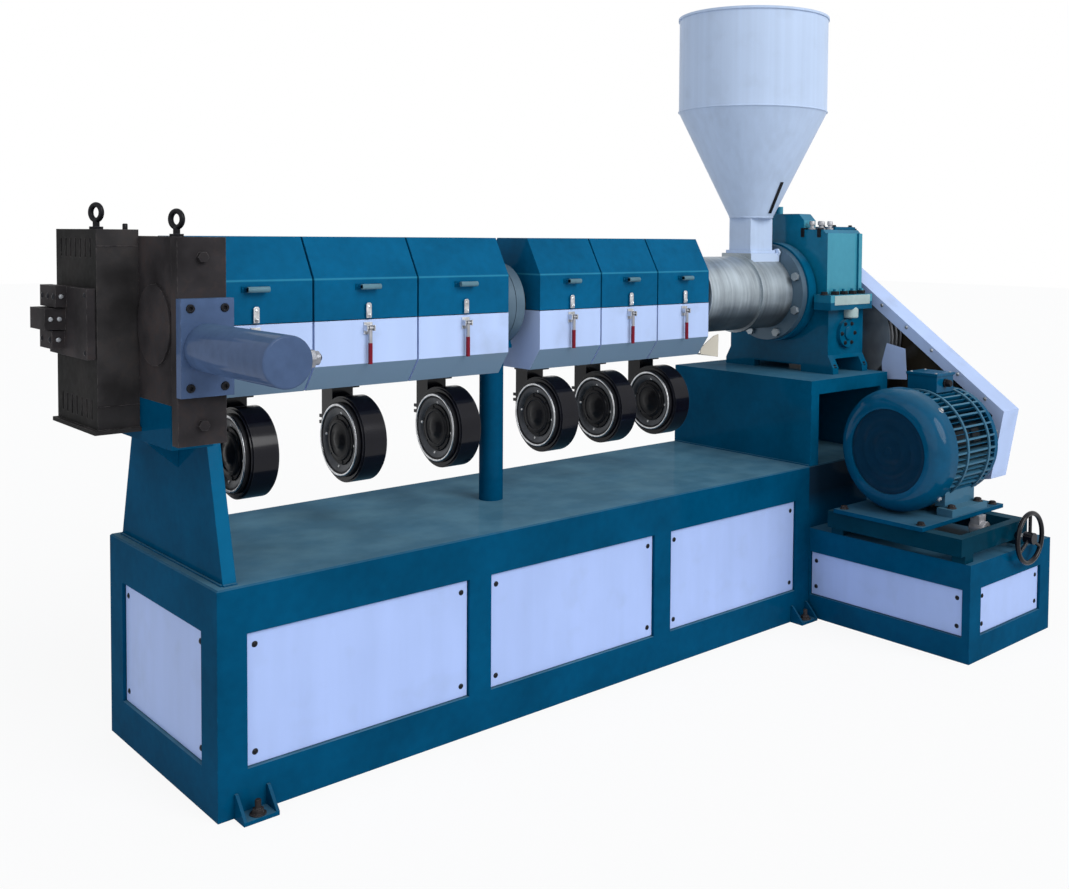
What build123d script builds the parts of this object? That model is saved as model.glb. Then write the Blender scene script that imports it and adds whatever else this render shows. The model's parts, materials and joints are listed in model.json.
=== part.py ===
from build123d import *
import math
import os

os.makedirs("parts", exist_ok=True)

# Row frame: origin on the floor below the screw axis, under the middle post.
# +X runs from the die to the drive, +Y from the operator's side to the back, +Z is up.

# Common sizes
overrun = 4.0
touch = 0.3
seam = 6.0
sheet = 3.0

# Main base, a boxed frame with sunk windows for panels
base_head_x = -1060.0
base_length = 2813.0
base_width = 700.0
base_height = 560.0
base_tail_x = base_head_x + base_length
base_front_y = -base_width / 2
base_rear_y = base_width / 2
post_width = 75.0
rail_bottom = 111.0
rail_top = 118.0
end_post = 91.0
tail_bay = 556.0
window_depth = 14.0
panel_thickness = 5.0
panel_margin = 3.0
bay_count = 3
bays_length = base_length - tail_bay - post_width
bay_pitch = bays_length / bay_count
bay_window = bay_pitch - post_width
deck_lip = 8.0

# Motor base, a lower box set against the operator's side
sub_length = 550.0
sub_depth = 660.0
sub_height = 331.0
sub_rail_bottom = 83.0
sub_rail_top = 87.0
sub_side_margin = 5.0
sub_side_stile = 29.0
sub_front_stile = 70.0
sub_x = base_tail_x - sub_length
sub_front_y = base_front_y - sub_depth

# Anchor brackets: a foot plate with two gussets
anchor_plate_x = 90.0
anchor_plate_y = 55.0
anchor_plate = 10.0
anchor_gusset = 8.0
anchor_gusset_height = 50.0
anchor_inset = 85.0
anchor_sub_gap = 60.0
anchor_hole_r = 9.0
anchor_hole_share = 0.6

# Screw line
axis_z = 1187.0
barrel_r = 62.0
head_flange_r = 118.0
head_flange_length = 30.0
mid_flange_r = 128.0
mid_flange_length = 34.0
mid_flange_gap = 1.0

# Cooling zones: three long ones at the head, three short ones at the feed
zone_front_x = -1028.0
zone_front_length = 329.0
zone_rear_x = 77.0
zone_count = 3
zone_end_gap = 7.0
hood_half = 145.0
hood_crown_half = 78.0
hood_crown_z = 1395.0
hood_shoulder_z = 1281.0
split_z = 1168.0
pan_shoulder_z = 1045.0
pan_bottom_z = 977.0
pan_bottom_half = 95.0
split_gap = 2.0
end_hole_r = 74.0
heater_r = 104.0
heater_groove_r = 92.0
heater_margin = 26.0
heater_fins = 6
heater_fin_share = 0.55

# Hood hinges at the back, handles and catches at the front
hinge_pin_r = 5.0
hinge_wall = 4.0
hinge_clear = 0.3
hinge_offset_y = 12.0
hinge_leaf = 3.0
hinge_inset_share = 0.2
hinge_length_share = 0.13
hinge_ear = 6.0
hinge_side_gap = 1.0
handle_length_share = 0.18
handle_reach = 24.0
handle_bar = 9.0
handle_drop = 22.0
catch_width = 18.0
catch_height = 34.0
catch_thickness = 6.0
catch_lift = 6.0

# Toggle latches on the pans
latch_base_width = 26.0
latch_base_height = 34.0
latch_base_thickness = 4.0
latch_base_drop = 8.0
latch_ear = 3.0
latch_ear_reach = 17.0
latch_ear_height = 16.0
latch_pin_r = 2.5
latch_pin_clear = 0.3
latch_pin_reach = 11.0
latch_pin_drop = 16.0
lever_width = 9.0
lever_thickness = 6.0
lever_length = 100.0
grip_width = 10.0
grip_thickness = 9.0
grip_length = 58.0
lever_boss_r = 5.5

# Blowers under the pans
blower_z = 812.0
blower_r = 124.0
blower_thickness = 78.0
blower_edge = 10.0
blower_centre_shares = (0.62, 0.62, 0.62, 0.58, 0.58, 0.58)
blower_outlet_width = 62.0
blower_outlet_top = 952.0
blower_flange = 7.0
blower_flange_grow = 12.0
inlet_ring_r = 108.0
inlet_ring_bore_r = 92.0
inlet_ring_thickness = 9.0
inlet_hub_r = 70.0
inlet_hub_thickness = 5.0

# Middle post
mid_post_x = 0.0
mid_post_r = 38.0
mid_saddle = 12.0
mid_saddle_half = 56.0

# Feed throat and hopper
throat_x = base_tail_x - 883.0
throat_r = 142.0
throat_flange_x = base_tail_x - 405.0
throat_flange_length = 28.0
throat_flange_r = 190.0
throat_rib = 16.0
throat_rib_r = 152.0
throat_rib_count = 2
throat_boss_x = 170.0
throat_boss_y = 150.0
throat_boss_top = 1342.0
flange_bolt_count = 8
flange_bolt_ring_r = 170.0
flange_bolt_head_r = 17.0
flange_bolt_head = 14.0
feed_bore_r = 45.0
hopper_x = base_tail_x - 495.0
hopper_r = 287.0
hopper_rim_z = 2248.0
hopper_seam_z = 1888.0
hopper_cone_z = 1481.0
hopper_wall = 4.0
hopper_bead = 9.0
neck_x = 130.0
neck_y = 108.0
neck_plate = 12.0
neck_plate_grow = 9.0

# Gearbox and its pedestal
pedestal_x = sub_x
pedestal_length = 487.0
pedestal_top_z = 875.0
pedestal_wall = 14.0
pedestal_beam = 52.0
pedestal_post = 46.0
gear_thrust_x = throat_flange_x + throat_flange_length
gear_thrust_r = 198.0
gear_x = base_tail_x - 321.0
gear_length = 228.0
gear_top_half = 232.0
gear_low_half = 250.0
gear_flange_half = 286.0
gear_flange_z = 1154.0
gear_flange_height = 58.0
gear_top_z = axis_z + 249.0
gear_shoulder = 14.0
gear_hump_length = 74.0
gear_hump_low_y = -125.0
gear_hump_high_y = 190.0
gear_hump_height = 62.0
gear_hump_round = 26.0
gear_rib = 22.0
gear_rib_proud = 9.0
gear_ear_reach = 26.0
gear_ear_half = 206.0
gear_slot_inset = 36.0
gear_slot_height = 58.0
gear_foot = 26.0
gear_foot_half = 275.0
gear_foot_gap_half = 120.0
gear_low_rise = 46.0
gear_corner = 18.0
gear_cap_r = 55.0
gear_cap = 16.0
gear_cap_z = 1030.0
gear_cap_x = gear_x + 110.0
gear_plug_r = 17.0
gear_plug_height = 30.0
gear_bolt_r = 9.0
gear_bolt_height = 22.0
gear_bolt_count = 4
input_shaft_r = 30.0

# Belt drive
motor_y = sub_front_y + 345.0
motor_z = 657.0
input_y = -150.0
input_z = 1004.0
pulley_x = base_tail_x - 11.0
pulley_length = 84.0
drive_pulley_r = 118.0
driven_pulley_r = 176.0
groove_count = 3
groove_depth = 12.0
groove_width = 17.0
belt_height = 13.0
belt_clear = 0.3
hub_r = 52.0
web = 20.0
shaft_clear = 0.05
motor_shaft_r = 26.0

# Belt guard, outline in its own plane
guard_x = base_tail_x - 25.0
guard_depth = 112.0
guard_wall = 3.0
guard_band = 42.0
guard_nose_y = motor_y - 167.0
guard_nose_z = 768.0
guard_heel_y = motor_y - 120.0
guard_heel_z = 510.0
guard_toe_y = motor_y + 25.0
guard_toe_z = 478.0
guard_crest_y = -110.0
guard_crest_z = 1284.0
guard_back_y = 70.0
guard_back_top_z = 1180.0
guard_back_low_z = 860.0
guard_shaft_r = 92.0
guard_stay_r = 9.0

# Motor
motor_cowl_x = base_tail_x - 528.0
motor_cowl_length = 105.0
motor_cowl_r = 218.0
motor_cowl_round = 62.0
motor_cowl_recess_r = 150.0
motor_cowl_recess = 8.0
motor_body_length = 307.0
motor_core_r = 168.0
motor_fin_r = 200.0
motor_fin_count = 28
motor_fin_width = 7.0
motor_nose_length = 42.0
motor_nose_r = 150.0
motor_nose_taper = 15.0
motor_shield_r = 196.0
motor_shield = 22.0
motor_foot_half = 178.0
motor_foot_width = 62.0
motor_foot_length = 236.0
motor_foot_height = 26.0
motor_leg = 40.0
box_x = 110.0
box_y = 120.0
box_height = 60.0
box_shift = 12.0
box_lid = 9.0
box_lid_grow = 5.0

# Motor slide
plate_x = base_tail_x - 588.0
plate_length = 540.0
plate_front_y = sub_front_y + 160.0
plate_depth = 365.0
plate_thickness = 14.0
plate_top_z = 432.0
slide_x = base_tail_x - 575.0
slide_length = 440.0
slide_front_y = sub_front_y + 20.0
slide_depth = 540.0
slide_rail = 50.0
slide_rail_height = 60.0
slide_cross = 34.0
screw_x = base_tail_x - 215.0
screw_r = 11.0
screw_z = 372.0
screw_clear = 0.4
screw_back = 210.0
wheel_y = sub_front_y - 32.0
wheel_r = 94.0
wheel_rim_r = 8.5
wheel_hub_r = 20.0
wheel_hub_length = 34.0
wheel_spokes = 3
wheel_spoke_r = 6.0

# Head: stand, screen changer, die box
stand_x = -1034.0
stand_depth = 34.0
stand_wall = 12.0
stand_foot_half = 326.0
stand_top_half = 236.0
stand_top_z = 902.0
stand_cap = 14.0
stand_gusset_y = -60.0
stand_gusset = 12.0
stand_gusset_drop = 94.0
stand_gusset_inset = 20.0
bracket_front_y = -330.0
changer_x = -1157.0
changer_length = 99.0
changer_front_y = -350.0
changer_rear_y = 205.0
changer_low_z = 1006.0
changer_top_z = 1394.0
changer_boss_r = 96.0
changer_boss = 7.0
changer_chamfer = 12.0
plate_side_x = -1162.0
plate_side_length = 114.0
plate_side_thickness = 34.0
plate_side_low_z = 917.0
side_bolt_r = 13.0
side_bolt_head = 12.0
side_bolt_inset = 46.0
ram_x = -1103.0
ram_z = 1143.0
ram_flange = 124.0
ram_flange_height = 224.0
ram_flange_thickness = 26.0
ram_bolt_r = 10.0
ram_bolt_inset = 22.0
ram_collar_r = 64.0
ram_collar = 22.0
ram_r = 55.5
ram_length = 387.0
ram_round = 5.0
port_r = 15.0
port_length = 34.0
port_hex_r = 21.0
port_hex = 12.0
port_inset = 42.0
die_x = -1255.0
die_half = 143.0
die_low_z = 935.0
die_top_z = 1410.0
die_lip = 10.0
louvre_count = 7
louvre_width = 9.0
louvre_height = 46.0
louvre_depth = 6.0
louvre_margin = 22.0
block_depth = 20.0
block_margin = 8.0
block_z = 1186.0
block_height = 168.0
upper_block_reach = 26.0
upper_block_z = 1246.0
upper_block_height = 52.0
upper_block_y = 62.0
upper_block_width = 118.0
middle_block_reach = 48.0
middle_block_z = 1191.0
middle_block_height = 52.0
middle_block_y = 70.0
middle_block_width = 112.0
lower_block_reach = 30.0
lower_block_z = 1140.0
lower_block_height = 44.0
lower_block_y = 66.0
lower_block_width = 92.0
eye_r = 19.0
eye_rim_r = 6.5
eye_shank_r = 8.0
eye_shank = 22.0
eye_turn = 70.0
eye_place_share = 0.71


def finish(piece, name):
    """Label a finished piece and write it."""
    piece.part.label = name
    export_step(piece.part, f"parts/{name}.step")


def zone_starts():
    """Left end of each cooling zone, with its length."""
    zone_rear_length = (throat_x - zone_end_gap - zone_rear_x) / zone_count
    front = [(zone_front_x + i * zone_front_length, zone_front_length) for i in range(zone_count)]
    rear = [(zone_rear_x + i * zone_rear_length, zone_rear_length) for i in range(zone_count)]
    return front + rear


zones = zone_starts()


def side_windows():
    """Centre and width of each window along the base's long sides, the tail bay included."""
    first = base_head_x + post_width + bay_window / 2
    main = [(first + i * bay_pitch, bay_window) for i in range(bay_count)]
    tail_width = tail_bay - post_width
    return main + [(base_tail_x - post_width - tail_width / 2, tail_width)]


window_mid_z = (rail_bottom + base_height - rail_top) / 2
window_height = base_height - rail_top - rail_bottom
sub_window_mid_z = (sub_rail_bottom + sub_height - sub_rail_top) / 2
sub_window_height = sub_height - sub_rail_top - sub_rail_bottom
end_window = base_width - 2 * end_post

# Main base
with BuildPart() as base_frame:
    with BuildSketch():
        with Locations(((base_head_x + base_tail_x) / 2, 0)):
            Rectangle(base_length, base_width)
    extrude(amount=base_height)
    for side in (-1, 1):
        face = Plane(origin=(0, side * base_width / 2, 0), x_dir=(1, 0, 0), z_dir=(0, -side, 0))
        for centre, width in side_windows():
            if side < 0 and centre > sub_x:
                continue
            with BuildSketch(face):
                with Locations((centre, side * window_mid_z)):
                    Rectangle(width, window_height)
            extrude(amount=window_depth, mode=Mode.SUBTRACT)
    for end_x, inward in ((base_head_x, 1), (base_tail_x, -1)):
        face = Plane(origin=(end_x, 0, window_mid_z), x_dir=(0, 1, 0), z_dir=(inward, 0, 0))
        with BuildSketch(face):
            Rectangle(end_window, window_height)
        extrude(amount=window_depth, mode=Mode.SUBTRACT)
    top_edges = base_frame.faces().sort_by(Axis.Z)[-1].edges()
    chamfer(top_edges, deck_lip / 2)
finish(base_frame, "base_frame")

# Panels of the main base, each screwed into its window
with BuildPart() as base_panels:
    for side in (-1, 1):
        seat_y = side * (base_width / 2 - window_depth)
        for centre, width in side_windows():
            if side < 0 and centre > sub_x:
                continue
            with Locations((centre, seat_y + side * panel_thickness / 2, window_mid_z)):
                Box(width - 2 * panel_margin, panel_thickness, window_height - 2 * panel_margin)
    for end_x, inward in ((base_head_x, 1), (base_tail_x, -1)):
        seat_x = end_x + inward * window_depth
        with Locations((seat_x - inward * panel_thickness / 2, 0, window_mid_z)):
            Box(panel_thickness, end_window - 2 * panel_margin, window_height - 2 * panel_margin)
finish(base_panels, "base_panels")

# Motor base
sub_mid_x = sub_x + sub_length / 2
sub_mid_y = base_front_y - sub_depth / 2
sub_side_window = sub_depth - sub_side_margin - sub_side_stile
sub_side_mid_y = base_front_y - sub_side_margin - sub_side_window / 2
sub_front_window = sub_length - 2 * sub_front_stile
with BuildPart() as motor_base_frame:
    with BuildSketch():
        with Locations((sub_mid_x, sub_mid_y)):
            Rectangle(sub_length, sub_depth)
    extrude(amount=sub_height)
    for side_x, inward in ((sub_x, 1), (base_tail_x, -1)):
        centre = (side_x, sub_side_mid_y, sub_window_mid_z)
        with BuildSketch(Plane(origin=centre, x_dir=(0, 1, 0), z_dir=(inward, 0, 0))):
            Rectangle(sub_side_window, sub_window_height)
        extrude(amount=window_depth, mode=Mode.SUBTRACT)
    centre = (sub_mid_x, sub_front_y, sub_window_mid_z)
    with BuildSketch(Plane(origin=centre, x_dir=(1, 0, 0), z_dir=(0, 1, 0))):
        Rectangle(sub_front_window, sub_window_height)
    extrude(amount=window_depth, mode=Mode.SUBTRACT)
finish(motor_base_frame, "motor_base_frame")

with BuildPart() as motor_base_panels:
    for side_x, inward in ((sub_x, 1), (base_tail_x, -1)):
        seat_x = side_x + inward * (window_depth - panel_thickness / 2)
        with Locations((seat_x, sub_side_mid_y, sub_window_mid_z)):
            Box(panel_thickness, sub_side_window - 2 * panel_margin, sub_window_height - 2 * panel_margin)
    with Locations((sub_mid_x, sub_front_y + window_depth - panel_thickness / 2, sub_window_mid_z)):
        Box(sub_front_window - 2 * panel_margin, panel_thickness, sub_window_height - 2 * panel_margin)
finish(motor_base_panels, "motor_base_panels")


# Anchor brackets, welded to the sides at floor level
def anchor_places():
    """Foot of each bracket on a long side: x, y and which way it faces."""
    low_x = base_head_x + anchor_inset
    high_x = base_tail_x - anchor_inset
    rear = [(low_x, base_rear_y, 1), (high_x, base_rear_y, 1)]
    return rear + [(low_x, base_front_y, -1), (sub_x - anchor_sub_gap, base_front_y, -1)]


with BuildPart() as anchor_brackets:
    for foot_x, foot_y, out in anchor_places():
        with Locations((foot_x, foot_y + out * anchor_plate_y / 2, anchor_plate / 2)):
            Box(anchor_plate_x, anchor_plate_y, anchor_plate)
        for gusset_side in (-1, 1):
            gusset_x = foot_x + gusset_side * (anchor_plate_x - anchor_gusset) / 2
            with BuildSketch(Plane(origin=(gusset_x, foot_y, anchor_plate), x_dir=(0, out, 0), z_dir=(1, 0, 0))):
                with BuildLine():
                    rise = out * anchor_gusset_height
                    Polyline((0, 0), (anchor_plate_y, 0), (anchor_gusset, rise), (0, rise), close=True)
                make_face()
            extrude(amount=anchor_gusset / 2, both=True)
        with Locations((foot_x, foot_y + out * anchor_plate_y * anchor_hole_share, anchor_plate / 2)):
            Cylinder(anchor_hole_r, anchor_plate + overrun, mode=Mode.SUBTRACT)
finish(anchor_brackets, "anchor_brackets")

# Gearbox pedestal: a plated stand, open on the operator's side
pedestal_height = pedestal_top_z - base_height
pedestal_mid_x = pedestal_x + pedestal_length / 2
with BuildPart() as gearbox_pedestal:
    with Locations((pedestal_mid_x, 0, base_height + pedestal_height / 2)):
        Box(pedestal_length, base_width, pedestal_height)
    with Locations((pedestal_mid_x, -pedestal_wall, base_height + (pedestal_height - pedestal_wall) / 2)):
        Box(
            pedestal_length - 2 * pedestal_wall,
            base_width - pedestal_wall,
            pedestal_height - pedestal_wall,
            mode=Mode.SUBTRACT,
        )
    with Locations((pedestal_mid_x, base_front_y + pedestal_wall / 2, pedestal_top_z - pedestal_beam / 2)):
        Box(pedestal_length, pedestal_wall, pedestal_beam)
    for end in (-1, 1):
        post_x = pedestal_mid_x + end * (pedestal_length - pedestal_post) / 2
        with Locations((post_x, base_front_y + pedestal_wall / 2, base_height + pedestal_height / 2)):
            Box(pedestal_post, pedestal_wall, pedestal_height)
finish(gearbox_pedestal, "gearbox_pedestal")

# Head stand: a tapered plate with folded side flanges, a cap, a riser and a gusset under it
with BuildPart() as head_stand:
    with BuildSketch(Plane(origin=(stand_x, 0, 0), x_dir=(0, 1, 0), z_dir=(1, 0, 0))):
        with BuildLine():
            Polyline(
                (-stand_foot_half, base_height),
                (stand_foot_half, base_height),
                (stand_top_half, stand_top_z),
                (-stand_top_half, stand_top_z),
                close=True,
            )
        make_face()
    extrude(amount=stand_depth)
    with BuildSketch(Plane(origin=(stand_x + stand_wall, 0, 0), x_dir=(0, 1, 0), z_dir=(1, 0, 0))):
        with BuildLine():
            Polyline(
                (-stand_foot_half + stand_wall, base_height + stand_wall),
                (stand_foot_half - stand_wall, base_height + stand_wall),
                (stand_top_half - stand_wall, stand_top_z - stand_wall),
                (-stand_top_half + stand_wall, stand_top_z - stand_wall),
                close=True,
            )
        make_face()
    extrude(amount=stand_depth, mode=Mode.SUBTRACT)
    cap_low_x = changer_x
    cap_high_x = stand_x + stand_depth
    cap_mid_x = (cap_low_x + cap_high_x) / 2
    with Locations((cap_mid_x, 0, stand_top_z + stand_cap / 2)):
        Box(cap_high_x - cap_low_x, 2 * stand_top_half, stand_cap)
    riser_height = changer_low_z - stand_top_z
    riser_mid_x = changer_x + changer_length / 2
    riser_length = changer_rear_y - bracket_front_y
    riser_mid_y = (changer_rear_y + bracket_front_y) / 2
    with Locations((riser_mid_x, riser_mid_y, stand_top_z + riser_height / 2)):
        Box(changer_length, riser_length, riser_height)
    with BuildSketch(Plane(origin=(0, stand_gusset_y, 0), x_dir=(1, 0, 0), z_dir=(0, -1, 0))):
        with BuildLine():
            Polyline(
                (stand_x, stand_top_z),
                (changer_x + stand_gusset_inset, stand_top_z),
                (stand_x, stand_top_z - stand_gusset_drop),
                close=True,
            )
        make_face()
    extrude(amount=stand_gusset / 2, both=True)
finish(head_stand, "head_stand")

# Middle post with its saddle
mid_top_z = axis_z - mid_flange_r
with BuildPart() as mid_post:
    with BuildSketch(Plane.XY.offset(base_height)):
        with Locations((mid_post_x, 0)):
            Circle(mid_post_r)
    extrude(amount=mid_top_z - mid_saddle - base_height)
    with Locations((mid_post_x, 0, mid_top_z - mid_saddle / 2)):
        Box(2 * mid_post_r, 2 * mid_saddle_half, mid_saddle)
    with Locations((mid_post_x, 0, mid_top_z + mid_saddle)):
        Box(mid_flange_length * 2, 2 * mid_saddle_half, mid_saddle * 2)
    with BuildSketch(Plane(origin=(0, 0, axis_z), x_dir=(0, 1, 0), z_dir=(1, 0, 0))):
        Circle(mid_flange_r + touch)
    extrude(amount=base_width, both=True, mode=Mode.SUBTRACT)
finish(mid_post, "mid_post")

# Barrel with its head flange and the pair of flanges over the post
barrel_end_x = throat_x
barrel_start_x = changer_x + changer_length
screw_plane = Plane(origin=(0, 0, axis_z), x_dir=(1, 0, 0), z_dir=(0, -1, 0))
with BuildPart() as barrel:
    with BuildSketch(screw_plane):
        with BuildLine():
            mid_low = mid_post_x - mid_flange_length
            mid_high = mid_post_x + mid_flange_length
            head_end_x = barrel_start_x + head_flange_length
            Polyline(
                (barrel_start_x, 0),
                (barrel_start_x, head_flange_r),
                (head_end_x, head_flange_r),
                (head_end_x, barrel_r),
                (mid_low, barrel_r),
                (mid_low, mid_flange_r),
                (mid_post_x - mid_flange_gap, mid_flange_r),
                (mid_post_x - mid_flange_gap, mid_flange_r - mid_saddle),
                (mid_post_x + mid_flange_gap, mid_flange_r - mid_saddle),
                (mid_post_x + mid_flange_gap, mid_flange_r),
                (mid_high, mid_flange_r),
                (mid_high, barrel_r),
                (barrel_end_x, barrel_r),
                (barrel_end_x, 0),
                close=True,
            )
        make_face()
    revolve(axis=Axis((0, 0, axis_z), (1, 0, 0)))
finish(barrel, "barrel")

# Finned heater shells, one around the barrel in each zone
with BuildPart() as heater_bands:
    for zone_x, zone_length in zones:
        band_x = zone_x + heater_margin
        band_length = zone_length - 2 * heater_margin
        pitch = band_length / heater_fins
        fin = pitch * heater_fin_share
        outline = [(band_x, barrel_r)]
        for i in range(heater_fins):
            start = band_x + i * pitch
            outline += [(start, heater_r), (start + fin, heater_r)]
            outline += [(start + fin, heater_groove_r), (start + pitch, heater_groove_r)]
        outline += [(band_x + band_length, barrel_r)]
        with BuildSketch(screw_plane):
            with BuildLine():
                Polyline(*outline, close=True)
            make_face()
        revolve(axis=Axis((0, 0, axis_z), (1, 0, 0)))
finish(heater_bands, "heater_bands")


def hood_outline(inset):
    """Upper half of a zone's cross-section, with its walls set in by a distance."""
    low = split_z + split_gap / 2
    return [
        (-hood_half + inset, low),
        (-hood_half + inset, hood_shoulder_z - inset / 2),
        (-hood_crown_half + inset / 2, hood_crown_z - inset),
        (hood_crown_half - inset / 2, hood_crown_z - inset),
        (hood_half - inset, hood_shoulder_z - inset / 2),
        (hood_half - inset, low),
    ]


def pan_outline(inset):
    """Lower half of a zone's cross-section, with its walls set in by a distance."""
    high = split_z - split_gap / 2
    return [
        (-hood_half + inset, high),
        (-hood_half + inset, pan_shoulder_z + inset / 2),
        (-pan_bottom_half + inset / 2, pan_bottom_z + inset),
        (pan_bottom_half - inset / 2, pan_bottom_z + inset),
        (hood_half - inset, pan_shoulder_z + inset / 2),
        (hood_half - inset, high),
    ]


def cross_plane(x):
    """Plane across the screw axis, with its own x along +Y and its own y up."""
    return Plane(origin=(x, 0, 0), x_dir=(0, 1, 0), z_dir=(1, 0, 0))


hinge_y = hood_half + hinge_offset_y
hinge_z = split_z
knuckle_r = hinge_pin_r + hinge_clear + hinge_wall


def hinge_places(zone_x, zone_length):
    """Middle of each hinge knuckle of a zone."""
    inset = zone_length * hinge_inset_share
    return [zone_x + inset, zone_x + zone_length - inset]


# Cooling pans with the fixed halves of their hinges
blower_xs = [zone_x + zone_length * share for (zone_x, zone_length), share in zip(zones, blower_centre_shares)]
with BuildPart() as pans:
    for (zone_x, zone_length), duct_x in zip(zones, blower_xs):
        left = zone_x + seam / 2
        length = zone_length - seam
        with BuildSketch(cross_plane(left)):
            with BuildLine():
                Polyline(*pan_outline(0), close=True)
            make_face()
        extrude(amount=length)
        with BuildSketch(cross_plane(left + sheet)):
            with BuildLine():
                Polyline(*pan_outline(sheet), close=True)
            make_face()
        extrude(amount=length - 2 * sheet, mode=Mode.SUBTRACT)
        duct_y = blower_r - blower_outlet_width / 2
        with Locations((duct_x, duct_y - blower_outlet_width / 2, pan_bottom_z)):
            Box(blower_thickness / 2, blower_outlet_width / 2, sheet * overrun, mode=Mode.SUBTRACT)
        hinge_length = zone_length * hinge_length_share
        for knuckle_x in hinge_places(zone_x, zone_length):
            for side in (-1, 1):
                ear_x = knuckle_x + side * (hinge_length + hinge_ear + 2 * hinge_side_gap) / 2
                ear_centre = ear_x - hinge_ear / 2
                with BuildSketch(cross_plane(ear_centre)):
                    with Locations((hinge_y, hinge_z)):
                        Circle(knuckle_r)
                    with Locations((hinge_y - hinge_offset_y / 2, hinge_z - knuckle_r)):
                        Rectangle(hinge_offset_y, 2 * knuckle_r - split_gap)
                extrude(amount=hinge_ear)
            with BuildSketch(cross_plane(knuckle_x - hinge_length / 2 - hinge_ear)):
                with Locations((hinge_y, hinge_z)):
                    Circle(hinge_pin_r)
            extrude(amount=hinge_length + 2 * hinge_ear)
    with BuildSketch(cross_plane(zone_front_x - overrun)):
        with Locations((0, axis_z)):
            Circle(barrel_r + touch)
    extrude(amount=base_length, mode=Mode.SUBTRACT)
finish(pans, "pans")


# Hoods: hinged sheet covers with handle, catch and the moving halves of the hinges
def build_hood(zone_x, zone_length):
    """One hinged hood over a cooling zone."""
    left = zone_x + seam / 2
    length = zone_length - seam
    middle = zone_x + zone_length / 2
    handle_length = zone_length * handle_length_share
    hinge_length = zone_length * hinge_length_share
    with BuildPart() as hood:
        with BuildSketch(cross_plane(left)):
            with BuildLine():
                Polyline(*hood_outline(0), close=True)
            make_face()
        extrude(amount=length)
        with BuildSketch(cross_plane(left + sheet)):
            with BuildLine():
                Polyline(*hood_outline(sheet), close=True)
            make_face()
        extrude(amount=length - 2 * sheet, mode=Mode.SUBTRACT)
        with BuildSketch(cross_plane(left - overrun)):
            with Locations((0, axis_z)):
                Circle(end_hole_r)
            with Locations((0, axis_z - end_hole_r / 2)):
                Rectangle(2 * end_hole_r, end_hole_r)
        extrude(amount=zone_length + overrun, mode=Mode.SUBTRACT)
        handle_z = hood_shoulder_z - handle_drop
        with BuildSketch(Plane.XY.offset(handle_z - handle_bar / 2)):
            with Locations((middle, -hood_half - handle_reach / 2)):
                Rectangle(handle_length, handle_reach)
            with Locations((middle, -hood_half - (handle_reach - handle_bar) / 2)):
                Rectangle(handle_length - 2 * handle_bar, handle_reach - handle_bar, mode=Mode.SUBTRACT)
        extrude(amount=handle_bar)
        with Locations((middle, -hood_half - catch_thickness / 2, split_z + catch_lift + catch_height / 2)):
            Box(catch_width, catch_thickness, catch_height)
        for knuckle_x in hinge_places(zone_x, zone_length):
            with BuildSketch(cross_plane(knuckle_x - hinge_length / 2)):
                with Locations((hinge_y, hinge_z)):
                    Circle(knuckle_r)
                leaf_height = knuckle_r + hinge_wall
                with Locations((hood_half + hinge_leaf / 2, hinge_z + split_gap + leaf_height / 2)):
                    Rectangle(hinge_leaf, leaf_height)
                with Locations((hinge_y - hinge_offset_y / 2, hinge_z + knuckle_r / 2 + split_gap / 2)):
                    Rectangle(hinge_offset_y, knuckle_r - split_gap)
                with Locations((hinge_y, hinge_z)):
                    Circle(hinge_pin_r + hinge_clear, mode=Mode.SUBTRACT)
            extrude(amount=hinge_length)
    return hood


for number, (zone_x, zone_length) in enumerate(zones, start=1):
    finish(build_hood(zone_x, zone_length), f"hood_{number}")

# Latch bases on the pans
latch_pin_y = -hood_half - latch_base_thickness - latch_pin_reach
latch_pin_z = split_z - latch_base_drop - latch_pin_drop
with BuildPart() as latch_bases:
    for zone_x, zone_length in zones:
        middle = zone_x + zone_length / 2
        base_mid_z = split_z - latch_base_drop - latch_base_height / 2
        with Locations((middle, -hood_half - latch_base_thickness / 2, base_mid_z)):
            Box(latch_base_width, latch_base_thickness, latch_base_height)
        for side in (-1, 1):
            ear_x = middle + side * (latch_base_width - latch_ear) / 2
            with Locations((ear_x, -hood_half - latch_base_thickness - latch_ear_reach / 2, latch_pin_z)):
                Box(latch_ear, latch_ear_reach, latch_ear_height)
        with BuildSketch(cross_plane(middle - latch_base_width / 2)):
            with Locations((latch_pin_y, latch_pin_z)):
                Circle(latch_pin_r)
        extrude(amount=latch_base_width)
finish(latch_bases, "latch_bases")


# Latch levers: a flat arm on the pin with a thick grip at its end
def build_lever(middle):
    """One latch lever, hanging down from its pin."""
    with BuildPart() as lever:
        with BuildSketch(cross_plane(middle - lever_width / 2)):
            with Locations((latch_pin_y, latch_pin_z)):
                Circle(lever_boss_r)
            with Locations((latch_pin_y, latch_pin_z - lever_length / 2)):
                Rectangle(lever_thickness, lever_length)
            with Locations((latch_pin_y, latch_pin_z)):
                Circle(latch_pin_r + latch_pin_clear, mode=Mode.SUBTRACT)
        extrude(amount=lever_width)
        grip_z = latch_pin_z - lever_length + grip_length / 2
        with Locations((middle, latch_pin_y, grip_z)):
            Box(grip_width, grip_thickness, grip_length)
        fillet(lever.edges().filter_by(Axis.Z).group_by(SortBy.LENGTH)[-1], lever_thickness / 4)
    return lever


for number, (zone_x, zone_length) in enumerate(zones, start=1):
    finish(build_lever(zone_x + zone_length / 2), f"latch_lever_{number}")

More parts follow.
